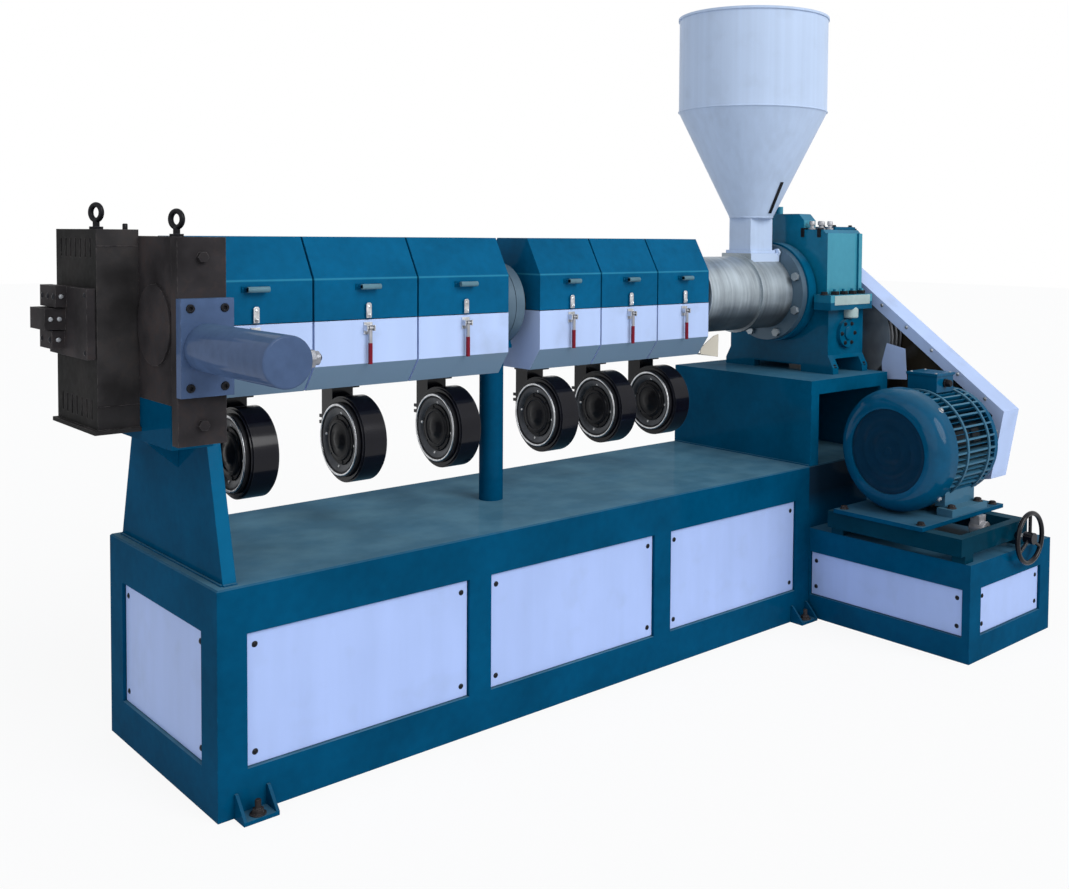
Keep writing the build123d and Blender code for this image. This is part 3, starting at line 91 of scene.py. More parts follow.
class Flow:
    """What a node's socket gives. A sum on it adds the Math nodes that work it out."""

    def __init__(self, maker, socket):
        self.maker = maker
        self.socket = socket

    def worked(self, operation, first, second):
        return self.maker.node("ShaderNodeMath", {"operation": operation}, {0: first, 1: second})

    def __add__(self, other):
        return self.worked("ADD", self, other)

    def __radd__(self, other):
        return self.worked("ADD", other, self)

    def __sub__(self, other):
        return self.worked("SUBTRACT", self, other)

    def __rsub__(self, other):
        return self.worked("SUBTRACT", other, self)

    def __mul__(self, other):
        return self.worked("MULTIPLY", self, other)

    def __rmul__(self, other):
        return self.worked("MULTIPLY", other, self)


class ShaderNodes:
    """The nodes of one material, or of the room."""

    def __init__(self, tree):
        self.tree = tree

    def node(self, kind, settings=None, sockets=None, gives=0):
        """Adds a node: its settings first, then the values or links of its sockets."""
        made = self.tree.nodes.new(kind)
        for name, value in (settings or {}).items():
            setattr(made, name, value)
        for name, value in (sockets or {}).items():
            self.feed(made.inputs[name], value)
        return Flow(self, made.outputs[gives])

    def feed(self, socket, value):
        """Gives a socket the result of another node, or a value of its own."""
        if isinstance(value, Flow):
            self.tree.links.new(value.socket, socket)
        else:
            socket.default_value = value


class Finish(ShaderNodes):
    """One procedural material and the nodes that it is made of."""

    def __init__(self, name, **constants):
        self.material = bpy.data.materials.new(name)
        self.material.use_nodes = True
        super().__init__(self.material.node_tree)
        self.shader = self.tree.nodes["Principled BSDF"]
        self.place = self.node("ShaderNodeTexCoord", gives="Object")
        self.normal = self.node("ShaderNodeNewGeometry", gives="Normal")
        self.set(**constants)

    def set(self, **values):
        """Feeds the shader's own sockets, named with _ for each space."""
        for name, value in values.items():
            self.feed(self.shader.inputs[name.replace("_", " ")], value)

    def blended(self, first, second, share):
        """A colour between two, by a share from 0 to 1."""
        settings = {"data_type": "RGBA", "clamp_factor": True}
        return self.node("ShaderNodeMix", settings, {0: share, 6: first, 7: second}, gives=2)

    def vector(self, operation, first, second, gives=0):
        """A sum on two vectors."""
        return self.node("ShaderNodeVectorMath", {"operation": operation}, {0: first, 1: second}, gives)

    def mottle(self, scale, detail=3.0, stretch=None):
        """Uneven patches from 0 to 1, scale of them to a metre."""
        where = self.vector("MULTIPLY", self.place, stretch) if stretch else self.place
        return self.node("ShaderNodeTexNoise", {}, {"Vector": where, "Scale": scale, "Detail": detail})

    def between(self, value, low, high):
        """0 below low, 1 above high, and even steps between them."""
        sockets = {"Value": value, "From Min": low, "From Max": high}
        return self.node("ShaderNodeMapRange", {}, sockets)

    def edges(self, radius):
        """1 along sharp edges and 0 on the flats beside them, with the normal that rounds them."""
        rounded = self.node("ShaderNodeBevel", {"samples": 4}, {"Radius": radius})
        same = self.vector("DOT_PRODUCT", rounded, self.normal, gives="Value")
        return self.between(1 - same, 0.01, 0.2), rounded

    def looks(self, axis):
        """How far a face looks along X, Y or Z, from -1 to 1."""
        return self.node("ShaderNodeSeparateXYZ", sockets={0: self.normal}, gives=axis)

    def looks_up(self):
        """1 on faces that look up, 0 on walls."""
        return self.between(self.looks("Z"), 0.6, 0.95)

    def looks_down(self):
        """1 on undersides, 0 on walls."""
        return self.between(0 - self.looks("Z"), 0.25, 0.6)

    def past(self, axis, low, high):
        """0 before low and 1 past high along X, Y or Z."""
        return self.between(self.node("ShaderNodeSeparateXYZ", sockets={0: self.place}, gives=axis), low, high)

    def span(self, axis, rise, fall):
        """1 on a stretch of X, Y or Z, which fades in over the rise and out over the fall."""
        return self.past(axis, *rise) - self.past(axis, *fall)

    def from_shaft(self, y, z):
        """Distance from a shaft that lies along X."""
        offset = self.vector("SUBTRACT", self.place, (0, y, z))
        return self.node(
            "ShaderNodeVectorMath", {"operation": "LENGTH"},
            {0: self.vector("MULTIPLY", offset, (0, 1, 1))}, gives="Value",
        )

    def bumped(self, height, strength, distance, normal):
        """The normal that shows a height as relief."""
        sockets = {"Strength": strength, "Distance": distance, "Height": height, "Normal": normal}
        return self.node("ShaderNodeBump", {}, sockets)


def shade(colour, share):
    """A colour made lighter or darker."""
    return tuple(min(1.0, c * share) for c in colour[:3]) + (1.0,)


# Painted light and shade that only some painted pieces show: each takes the paint, its colour so far and its depth

def painted_fold_highlight(paint, colour, depth):
    """A painted highlight: a lighter line along the fold of a hood."""
    core, fade = 0.001, 0.004
    # the lighter colour of the fold line, a painted highlight
    rubbed = (0.03, 0.24, 0.38, 1)
    line = paint.span("Z", (hood_fold_z - fade, hood_fold_z - core), (hood_fold_z + core, hood_fold_z + fade))
    return paint.blended(colour, rubbed, line * 0.7)


def between_fins(paint, colour, depth):
    """Painted shade between the motor's fins, and a painted highlight along their rims."""
    deep_shade, rim_highlight = (0.004, 0.012, 0.020, 1), (0.10, 0.22, 0.30, 1)
    out = paint.from_shaft(motor_y, motor_z)
    colour = paint.blended(deep_shade, colour, paint.between(out, 0.172, 0.196))
    return paint.blended(colour, rim_highlight, paint.between(out, 0.1985, 0.2) * 0.5)


def painted_shade_patch(paint, colour, depth):
    """A painted shade: a dark patch on the front of the base, behind the motor, standing for the shade in an
    opening there.
    """
    patch_shade = (0.010, 0.016, 0.026, 1)
    patch = paint.span("X", (1.196, 1.200), (1.46, 1.51)) * paint.past("Z", 0.39, 0.46)
    patch = patch * (1 - paint.looks_up()) * (1 - paint.past("Y", -0.32, -0.31))
    return paint.blended(colour, patch_shade, patch * (0.6 + depth * 0.4))


def painted_front_highlight(pale):
    """A painted highlight: paler paint on the faces that look to the operator."""
    def marks(paint, colour, depth):
        front = paint.between(0 - paint.looks("Y"), 0.7, 0.95)
        return paint.blended(colour, pale, front * (0.5 + depth * 0.6))
    return marks


# Finishes

def gloss_paint(name, tint, dust=0.26, cast=0.0, coarse=0.24, gloss=0.04, marks=None):
    """Brushed or sprayed gloss enamel: uneven depth, tops paler with dust and a painted sheen, worn edges, orange
    peel.

    Cast adds the coarse skin of a casting, dust sets the pale film on tops, dust and a painted sheen together, and
    marks the painted light and shade that only that piece shows.
    """
    dust_and_sheen = (0.23, 0.45, 0.55, 1)
    paint = Finish(name, Specular_IOR_Level=0.0, Coat_Weight=gloss, Coat_Roughness=0.10)
    edge, rounded = paint.edges(0.0025)
    depth = paint.mottle(5.0, 4.0) * 0.7 + paint.mottle(42.0, 3.0) * 0.3
    colour = paint.blended(shade(tint, 0.78), shade(tint, 1.22), paint.between(depth, 0.3, 0.7))
    if marks:
        colour = marks(paint, colour, depth)
    # A pale film on the faces that look up: dust, and a painted sheen that lightens the tops.
    specks = paint.between(paint.mottle(7.0, 6.0), 0.4, 0.75)
    dust_and_sheen_film = (specks * 0.4 + 0.6) * paint.looks_up() * dust
    colour = paint.blended(colour, dust_and_sheen, dust_and_sheen_film)
    worn = edge * paint.between(paint.mottle(65.0, 5.0), 0.52, 0.62)
    colour = paint.blended(colour, shade(tint, 2.4), worn * 0.7)
    peel = paint.mottle(330.0, 2.0) + paint.mottle(46.0, 5.0) * (cast * 6)
    paint.set(
        Base_Color=colour,
        Roughness=coarse + depth * 0.14 + dust_and_sheen_film * 0.7,
        Normal=paint.bumped(peel, 0.12 + cast, 0.0012, rounded),
    )
    return paint.material


def satin_sheet(name, tint, streak=(1, 1, 0.12), grime=0.14, under=None, shade_inside_past=None):
    """Painted sheet: a faint cloudy run down it and a little grime in patches.

    Its undersides take the colour under, a painted shade. Past a given X, its faces to the die are darker: a
    painted shade on the sheet's inner side.
    """
    inside_shade_black, inside_shade_brown = (0.020, 0.019, 0.014, 1), (0.075, 0.062, 0.045, 1)
    thumbed, chipped = (0.22, 0.25, 0.30, 1), (0.20, 0.22, 0.26, 1)
    sheet = Finish(name, Specular_IOR_Level=0.1)
    edge, rounded = sheet.edges(0.002)
    cloud = sheet.mottle(3.0, 4.0) * 0.5 + sheet.mottle(14.0, 3.0, streak) * 0.5
    colour = sheet.blended(shade(tint, 0.94), shade(tint, 1.05), sheet.between(cloud, 0.35, 0.65))
    # painted shade on the undersides
    if under:
        colour = sheet.blended(colour, under, sheet.looks_down())
    # painted shade on the inner side, past a given X
    if shade_inside_past:
        inside_shade = sheet.between(0 - sheet.looks("X"), 0.3, 0.6) * sheet.past("X", shade_inside_past, shade_inside_past + 0.002)
        colour = sheet.blended(colour, sheet.blended(inside_shade_black, inside_shade_brown, cloud), inside_shade)
    marks = sheet.between(sheet.mottle(9.0, 8.0), 0.56, 0.78)
    colour = sheet.blended(colour, thumbed, marks * grime)
    colour = sheet.blended(colour, chipped, edge * sheet.mottle(70.0, 4.0) * 0.5)
    sheet.set(
        Base_Color=colour,
        Roughness=0.3 + cloud * 0.2,
        Normal=sheet.bumped(sheet.mottle(240.0, 2.0), 0.06, 0.001, rounded),
    )
    return sheet.material


def machined_metal(
    name, tint, coarse, streak, metal=0.85, scratch=0.35, deep=0.55, under=0.0, shaded_stretch=None, painted=None
):
    """Bare metal with fine tool marks that run one way and stains between them.

    Its undersides are darker by under, a painted shade. One stretch of X is darker, bluer and less shiny, also a
    painted shade, and painted is a stretch of X and the height over which it is painted.
    """
    shaded_stretch_dark, shaded_stretch_light, pale_paint = (0.045, 0.085, 0.12, 1), (0.09, 0.15, 0.21, 1), (0.50, 0.61, 0.80, 1)
    fade = 0.001
    bare = Finish(name, Specular_IOR_Level=0.5)
    edge, rounded = bare.edges(0.0015)
    lines = bare.mottle(1.0, 5.0, streak)
    stain = bare.mottle(11.0, 6.0)
    cut = bare.between(lines * 0.6 + stain * 0.4, 0.34, 0.66)
    colour = bare.blended(shade(tint, deep), shade(tint, 1.25), cut)
    colour = bare.blended(colour, shade(tint, 1.6), edge * 0.6)
    # painted shade on the undersides
    colour = bare.blended(colour, shade(tint, 0.2), bare.looks_down() * under)
    shine = metal - bare.between(stain, 0.55, 0.75) * 0.3
    # a stretch of X painted darker and bluer: painted shade
    if shaded_stretch:
        low, high = shaded_stretch
        span = bare.span("X", (low, low + fade), (high, high + fade))
        colour = bare.blended(colour, bare.blended(shaded_stretch_dark, shaded_stretch_light, stain), span)
        shine = shine * (1 - span * 0.7)
    if painted:
        low, high, bottom = painted
        boss = bare.span("X", (low, low + fade), (high - fade, high)) * bare.past("Z", bottom, bottom + fade)
        colour = bare.blended(colour, pale_paint, boss)
        shine = shine * (1 - boss)
    bare.set(
        Base_Color=colour,
        Metallic=shine,
        Roughness=coarse + stain * 0.2,
        Normal=bare.bumped(lines, scratch, 0.0006, rounded),
    )
    return bare.material


def dark_plate(name, tint, rust, coarse=0.42, shaded_mouth=False):
    """Oiled dark steel with brown bloom, pits and bright rubbed edges.

    With its last argument set, its faces to the die's mouth are darker: a painted shade.
    """
    mouth_shade, rubbed = (0.009, 0.009, 0.009, 1), (0.20, 0.19, 0.19, 1)
    plate = Finish(name, Specular_IOR_Level=0.02)
    edge, rounded = plate.edges(0.002)
    bloom = plate.mottle(7.0, 7.0)
    fine = plate.mottle(60.0, 5.0)
    colour = plate.blended(shade(tint, 0.6), shade(tint, 1.5), plate.between(bloom, 0.35, 0.7))
    colour = plate.blended(colour, rust, plate.between(bloom * 0.6 + fine * 0.4, 0.5, 0.68) * 0.55)
    # painted shade on the faces to the die's mouth
    if shaded_mouth:
        mouth = plate.between(0 - plate.looks("X"), 0.6, 0.9)
        colour = plate.blended(colour, mouth_shade, mouth * (1 - bloom * 0.4))
    colour = plate.blended(colour, rubbed, edge * plate.between(fine, 0.4, 0.6) * 0.7)
    plate.set(
        Base_Color=colour,
        Roughness=coarse + fine * 0.25,
        Normal=plate.bumped(fine, 0.3, 0.0008, rounded),
    )
    return plate.material


def black_gloss(name, tint, coarse, coat):
    """Black enamel with a soft sheen and light dust."""
    dusty_edge = (0.09, 0.10, 0.12, 1)
    enamel = Finish(name, Specular_IOR_Level=0.05, Coat_Weight=coat, Coat_Roughness=0.12)
    edge, rounded = enamel.edges(0.002)
    patches = enamel.mottle(22.0, 5.0)
    colour = enamel.blended(shade(tint, 0.7), shade(tint, 1.6), patches)
    colour = enamel.blended(colour, dusty_edge, edge * 0.5)
    enamel.set(
        Base_Color=colour,
        Roughness=coarse + patches * 0.12,
        Normal=enamel.bumped(enamel.mottle(280.0, 2.0), 0.1, 0.001, rounded),
    )
    return enamel.material


def moulded(name, tint, coarse, bare_above=None):
    """Dipped or moulded plastic and rubber: fine grain, rubbed lighter on its edges.

    Above the height bare_above it is bare steel.
    """
    steel_dark, steel_light = (0.24, 0.24, 0.26, 1), (0.50, 0.50, 0.53, 1)
    skin = Finish(name, Specular_IOR_Level=0.2)
    edge, rounded = skin.edges(0.0015)
    grain = skin.mottle(420.0, 2.0)
    wear = skin.mottle(30.0, 4.0)
    colour = skin.blended(shade(tint, 0.75), shade(tint, 1.25), wear)
    colour = skin.blended(colour, shade(tint, 2.2), edge * 0.5)
    if bare_above:
        steel = skin.past("Z", bare_above, bare_above + 0.001)
        colour = skin.blended(colour, skin.blended(steel_dark, steel_light, wear), steel)
        skin.set(Metallic=steel * 0.85)
    skin.set(
        Base_Color=colour,
        Roughness=coarse + wear * 0.15,
        Normal=skin.bumped(grain, 0.15, 0.0006, rounded),
    )
    return skin.material


teal = (0.0004, 0.060, 0.135, 1)
sheet_white = (0.46, 0.58, 0.86, 1)
turned_grey = (0.34, 0.35, 0.37)
turned_streak, thrown_streak, even_streak = (160, 4, 4), (70, 5, 5), (60, 60, 60)

finishes = {
    "teal_paint": gloss_paint("teal_paint", teal),
    "gear_paint": gloss_paint("gear_paint", (0.001, 0.085, 0.17, 1), cast=0.1, gloss=0.15),
    "motor_paint": gloss_paint(
        "motor_paint", (0.001, 0.070, 0.150, 1), dust=0.1, cast=0.05, coarse=0.16, gloss=0.28,
    ),
    "white_panel": satin_sheet("white_panel", (0.38, 0.49, 0.80, 1)),
    # The pans' darker undersides are painted shade.
    "white_sheet": satin_sheet("white_sheet", sheet_white, grime=0.22, under=(0.17, 0.26, 0.36, 1)),
    "hopper_paint": satin_sheet("hopper_paint", (0.50, 0.61, 0.80, 1), streak=(3, 3, 0.05), grime=0.16),
    "machined_steel": machined_metal("machined_steel", turned_grey, 0.32, turned_streak),
    "cast_aluminium": machined_metal("cast_aluminium", (0.42, 0.42, 0.44), 0.45, (24, 24, 24), metal=0.7),
    "cast_grey": machined_metal("cast_grey", (0.36, 0.38, 0.41), 0.34, thrown_streak, metal=0.75),
    "bright_steel": machined_metal("bright_steel", (0.60, 0.61, 0.63), 0.2, even_streak, metal=1.0, scratch=0.1),
    "inlet_metal": black_gloss("inlet_metal", (0.012, 0.012, 0.014), 0.3, 0.1),
    "black_enamel": black_gloss("black_enamel", (0.003, 0.003, 0.006), 0.16, 0.35),
    "black_steel": black_gloss("black_steel", (0.008, 0.008, 0.010), 0.35, 0.1),
    "belt_rubber": moulded("belt_rubber", (0.012, 0.012, 0.012), 0.6),
    "red_grip": moulded("red_grip", (0.17, 0.002, 0.014), 0.3, bare_above=1.102),
    "dark_steel": dark_plate("dark_steel", (0.034, 0.031, 0.033), (0.060, 0.042, 0.037, 1)),
    "slate_paint": gloss_paint("slate_paint", (0.066, 0.108, 0.208, 1), dust=0.1, coarse=0.3, gloss=0.2),
}

# Finishes of single nodes, and of added pieces that differ from their slot
own_finishes = {
    # The guard's dark undersides and its dark inner side are painted shade.
    "belt_guard": satin_sheet(
        "guard_sheet", sheet_white, grime=0.25, under=(0.03, 0.032, 0.03, 1), shade_inside_past=1.74,
    ),
    "motor_body": gloss_paint("finned_case", (0.002, 0.078, 0.165, 1), cast=0.05, gloss=0.2, marks=between_fins),
    # The throat's darker underside and its darker flange are painted shade.
    "feed_throat": machined_metal(
        "turned_throat", (0.33, 0.38, 0.42), 0.34, thrown_streak, metal=0.75, scratch=0.18, deep=0.7, under=0.85,
        shaded_stretch=(1.345, 1.42), painted=(1.1732, 1.3435, 1.309),
    ),
    # The lid is paler on its faces to the operator: a painted highlight.
    "gearbox_lid": gloss_paint(
        "lid_paint", (0.003, 0.130, 0.230, 1), cast=0.1, gloss=0.4, marks=painted_front_highlight((0.06, 0.30, 0.40, 1)),
    ),
    # A lighter copy of the teal: painted light on the pedestal, which lies in shade.
    "gearbox_pedestal": gloss_paint("pedestal_paint", (0.0008, 0.078, 0.165, 1)),
    # The die box is darker on its faces to the die's mouth: painted shade.
    "die_box": dark_plate("die_steel_shaded", (0.036, 0.034, 0.035), (0.055, 0.044, 0.040, 1), shaded_mouth=True),
    # The stand is paler on its faces to the operator: a painted highlight.
    "head_stand": gloss_paint("stand_paint", teal, marks=painted_front_highlight((0.004, 0.115, 0.240, 1))),
    "port_fitting": machined_metal("port_chrome", (0.26, 0.27, 0.30), 0.2, even_streak, metal=1.0, scratch=0.1),
    # A darker copy of the teal: painted shade on the slide under the motor.
    "slide_frame": gloss_paint("slide_paint", (0.001, 0.030, 0.055, 1), dust=0.12),
    # The base carries a painted shade behind the motor, and its heavy pale film on the deck is dust and a painted
    # sheen.
    "base_frame": gloss_paint("base_paint", teal, dust=0.45, marks=painted_shade_patch),
    # The barrel's darker middle, over the post between the hoods, is painted shade.
    "barrel": machined_metal("turned_barrel", turned_grey, 0.32, turned_streak, shaded_stretch=(-0.05, 0.05)),
}
# The handle sleeves' pale paint is a painted highlight along the bars.
grip_highlight_paint = gloss_paint("grip_highlight_paint", (0.10, 0.20, 0.25, 1), dust=0.1, coarse=0.3, gloss=0.3)
pale_metal = gloss_paint("pale_metal", (0.36, 0.46, 0.46, 1), dust=0.1, coarse=0.4)
dark_bowl = machined_metal("dark_bowl", (0.055, 0.06, 0.07), 0.3, (40, 40, 40), metal=0.6)
tray_sheet = satin_sheet("tray_sheet", (0.56, 0.52, 0.44, 1), grime=0.3)
fan_guard = gloss_paint("fan_guard", (0.004, 0.026, 0.056, 1), dust=0.05, coarse=0.3, gloss=0.08)
# A lighter copy of the base's teal: painted light on the hoods, which wear the same paint.
hood_paint = gloss_paint("hood_paint", (0.002, 0.096, 0.210, 1), gloss=0.08, marks=painted_fold_highlight)
own_finishes.update({f"hood_{number}": hood_paint for number in zones})
for part in frame["record"]["subparts"]:
    node = nodes[part["node"]]
    node.data.materials.clear()
    node.data.materials.append(own_finishes.get(part["node"], finishes[part["material_slot"]]))


# Mesh work

def facing(point, out):
    """A place on a surface, with its Z looking out of the surface."""
    return Matrix.Translation(point) @ Vector(out).to_track_quat("Z", "Y").to_matrix().to_4x4()


def laid(point, across, along):
    """A place with its X across and its Y along the given directions."""
    across, along = Vector(across).normalized(), Vector(along).normalized()
    turn = Matrix((across, along, across.cross(along))).transposed().to_4x4()
    return Matrix.Translation(point) @ turn


def turns(count, first=0.0):
    """The angles of a number of evenly spaced things round a centre."""
    return [first + 2 * math.pi * i / count for i in range(count)]


def about(x, y, z, radius, turn):
    """A point at a radius round a shaft along X."""
    return (x, y + radius * math.cos(turn), z + radius * math.sin(turn))


class Shape:
    """Mesh work on one piece, in the row frame."""

    def __init__(self):
        self.work = bmesh.new()

    def skin(self, rings, loop=False):
        """Joins rings of points in order, and caps both ends unless the run is a loop."""
        made = [[self.work.verts.new(point) for point in ring] for ring in rings]
        pairs = list(zip(made, made[1:])) + ([(made[-1], made[0])] if loop else [])
        for low, high in pairs:
            for i in range(len(low)):
                j = (i + 1) % len(low)
                self.work.faces.new((low[i], low[j], high[j], high[i]))
        if not loop:
            self.work.faces.new(made[0][::-1])
            self.work.faces.new(made[-1])

    def turned(self, place, steps, sides=24, loop=False):
        """Turns (radius, height) steps round a place's Z."""
        ways = turns(sides)
        rings = [[place @ Vector((r * math.cos(a), r * math.sin(a), h)) for a in ways] for r, h in steps]
        self.skin(rings, loop)

    def slab(self, place, outline, thick):
        """A plate: an outline in a place's own X and Y, raised along its Z."""
        self.skin([[place @ Vector((x, y, z)) for x, y in outline] for z in (0, thick)])

    def block(self, low, high):
        """A block between its lowest and highest corner."""
        corners = [(low[0], low[1]), (high[0], low[1]), (high[0], high[1]), (low[0], high[1])]
        self.slab(Matrix.Translation((0, 0, low[2])), corners, high[2] - low[2])

    def hoop(self, place, radius, thick, sides=48, around=10):
        """A ring of round section about a place's Z."""
        section = [(radius + thick * math.cos(a), thick * math.sin(a)) for a in turns(around)]
        self.turned(place, section, sides, loop=True)

    def rod(self, points, radius, sides=10):
        """A round rod that follows points."""
        points = [Vector(point) for point in points]
        runs = [(b - a).normalized() for a, b in zip(points, points[1:])]
        ways = [runs[0]] + [(a + b).normalized() for a, b in zip(runs, runs[1:])] + [runs[-1]]
        side = ways[0].orthogonal().normalized()
        rings = []
        for point, way in zip(points, ways):
            side = (side - way * side.dot(way)).normalized()
            other = way.cross(side)
            rings.append([point + (side * math.cos(a) + other * math.sin(a)) * radius for a in turns(sides)])
        self.skin(rings)

    def made(self, name, slot, body="machine", finish=None, bevel=0.0):
        """Ends the mesh work: the piece gets its finish and rides on its body."""
        bmesh.ops.recalc_face_normals(self.work, faces=self.work.faces)
        mesh = bpy.data.meshes.new(name)
        self.work.to_mesh(mesh)
        self.work.free()
        mesh.polygons.foreach_set("use_smooth", [True] * len(mesh.polygons))
        mesh.set_sharp_from_angle(angle=math.radians(38))
        mesh.materials.append(finish or finishes[slot])
        piece = bpy.data.objects.new(name, mesh)
        bpy.context.scene.collection.objects.link(piece)
        if bevel:
            rounding = piece.modifiers.new("rounding", "BEVEL")
            rounding.width = bevel
            rounding.segments = 2
            rounding.limit_method = "ANGLE"
            rounding.harden_normals = True
        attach(piece, body)


def solid_boxes(node):
    """Lowest and highest corner of each separate solid of a CAD node, along X."""
    mesh = nodes[node].data
    spots = [tuple(round(c, 5) for c in v.co) for v in mesh.vertices]
    head = {spot: spot for spot in spots}

    def leader(spot):
        while head[spot] != spot:
            head[spot] = head[head[spot]]
            spot = head[spot]
        return spot

    for edge in mesh.edges:
        first, second = leader(spots[edge.vertices[0]]), leader(spots[edge.vertices[1]])
        head[first] = second
    groups = {}
    for spot in set(spots):
        groups.setdefault(leader(spot), []).append(spot)
    boxes = [(Vector(map(min, zip(*group))), Vector(map(max, zip(*group)))) for group in groups.values()]
    return sorted(boxes, key=lambda box: tuple(box[0]))


# Fasteners: turned (radius, height) profiles, as shares of the head's size

washer_profile = [(1.32, 0), (1.32, 0.18), (1.22, 0.24)]
hexagon_profile = [(1, 0.2), (1, 0.82), (0.86, 0.96)]
socket_profile = [(1, 0), (1, 0.85), (0.88, 1), (0.5, 1), (0.5, 0.45)]
thin_washer_profile = [(1.25, 0), (1.25, 0.12)]
dome_profile = [(1, 0.1), (0.92, 0.35), (0.6, 0.55), (0.2, 0.6)]


def scaled(profile, size):
    return [(size * radius, size * height) for radius, height in profile]


def hex_head(shape, place, size):
    """A hexagon head on its washer. Size is half the width across its corners."""
    shape.turned(place, scaled(washer_profile, size), 20)
    shape.turned(place, scaled(hexagon_profile, size), 6)


def socket_head(shape, place, size):
    """A round cap screw with its socket sunk in."""
    shape.turned(place, scaled(socket_profile, size), 18)


def round_head(shape, place, size):
    """A low domed screw head on a thin washer."""
    shape.turned(place, scaled(thin_washer_profile, size), 18)
    shape.turned(place, scaled(dome_profile, size), 18)


# Added pieces, with sizes in metres

def screw_the_panels():
    """Four dark screws near the corners of each panel, on the side that it faces."""
    size, from_end, from_edge = 0.0062, 0.02, 0.03
    motor_base_low, motor_base_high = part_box("motor_base_frame")
    motor_base_middle = (motor_base_low.x + motor_base_high.x) / 2
    screws = Shape()
    for low, high in solid_boxes("base_panels") + solid_boxes("motor_base_panels"):
        middle, half = (low + high) / 2, (high - low) / 2
        for end in (-1, 1):
            for z in (low.z + from_edge, high.z - from_edge):
                if half.x > half.y:
                    y, way = (low.y, to_front) if middle.y < 0 else (high.y, to_back)
                    spot = (middle.x + end * (half.x - from_end), y, z)
                else:
                    x, way = (low.x, to_die) if low.x < motor_base_middle else (high.x, to_drive)
                    spot = (x, middle.y + end * (half.y - from_end), z)
                round_head(screws, facing(spot, way), size)
    screws.made("panel_screws", "black_steel")


def bolt_the_feet():
    """A stud with nut and washer through each anchor bracket, and the motor's foot bolts."""
    stud_out, bracket_thick, stud_nut = 0.033, 0.010, 0.015
    stud_end = [(0.0075, 0.012), (0.0075, 0.034), (0.006, 0.036)]
    foot_bolt_xs, foot_bolt_out, foot_thick, foot_bolt = (1.395, 1.572), 0.157, 0.026, 0.013
    plate_bolt_xs, plate_bolt_in, plate_bolt = (1.195, 1.672), 0.025, 0.012
    studs = Shape()
    for low, high in solid_boxes("anchor_brackets"):
        y = high.y - stud_out if low.y < 0 else low.y + stud_out
        spot = ((low.x + high.x) / 2, y, low.z + bracket_thick)
        hex_head(studs, facing(spot, upward), stud_nut)
        studs.turned(Matrix.Translation(spot), stud_end, 16)
    plate_low, plate_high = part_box("motor_plate")
    for x in foot_bolt_xs:
        for y in (motor_y - foot_bolt_out, motor_y + foot_bolt_out):
            hex_head(studs, facing((x, y, plate_high.z + foot_thick), upward), foot_bolt)
    for x in plate_bolt_xs:
        for y in (plate_low.y + plate_bolt_in, plate_high.y - plate_bolt_in):
            hex_head(studs, facing((x, y, plate_high.z), upward), plate_bolt)
    studs.made("foot_bolts", "dark_steel")


def dress_hoods():
    """Round sleeve and foot plates of each handle, and the keeper strap, riding on their hood. The sleeve's pale
    paint is a painted highlight.
    """
    zone_gap, reach_share = 0.006, 0.09
    handle_y, handle_z, sleeve_radius = -0.1645, 1.259, 0.0076
    sleeve_shares = (-1, -0.92, 0.92, 1)
    foot = [(-0.013, -0.008), (0.013, -0.008), (0.013, 0.008), (-0.013, 0.008)]
    foot_in, foot_y, foot_thick, foot_screw_out, foot_screw = 0.0045, -0.145, 0.002, 0.009, 0.0028
    strap = [(-0.008, -0.021), (0.008, -0.021), (0.008, 0.017), (0.004, 0.021), (-0.004, 0.021), (-0.008, 0.017)]
    strap_y, strap_z, strap_thick = -0.151, 1.193, 0.0025
    strap_screw_z, strap_screw_out, strap_screw = 1.191, 0.012, 0.0032
    hook, hook_radius = [(-0.152, 1.176), (-0.158, 1.175), (-0.160, 1.180), (-0.158, 1.184)], 0.0022
    for number in zones:
        low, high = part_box(f"hood_{number}")
        middle = (low.x + high.x) / 2
        reach = (high.x - low.x + zone_gap) * reach_share
        sleeve, feet, keeper = Shape(), Shape(), Shape()
        line = [(middle + share * reach, handle_y, handle_z) for share in sleeve_shares]
        sleeve.rod(line, sleeve_radius, 16)
        for side in (-1, 1):
            x = middle + side * (reach - foot_in)
            feet.slab(laid((x, foot_y, handle_z), to_drive, upward), foot, foot_thick)
            spot = (x + side * foot_screw_out, foot_y - foot_thick, handle_z)
            round_head(feet, facing(spot, to_front), foot_screw)
            spot = (middle, strap_y - strap_thick, strap_screw_z + side * strap_screw_out)
            round_head(keeper, facing(spot, to_front), strap_screw)
        keeper.slab(laid((middle, strap_y, strap_z), to_drive, upward), strap, strap_thick)
        keeper.rod([(middle, y, z) for y, z in hook], hook_radius)
        sleeve.made(f"handle_sleeve_{number}", "cast_grey", f"hood_{number}", finish=grip_highlight_paint)
        feet.made(f"handle_feet_{number}", "teal_paint", f"hood_{number}")
        keeper.made(f"keeper_{number}", "bright_steel", f"hood_{number}", bevel=0.0004)


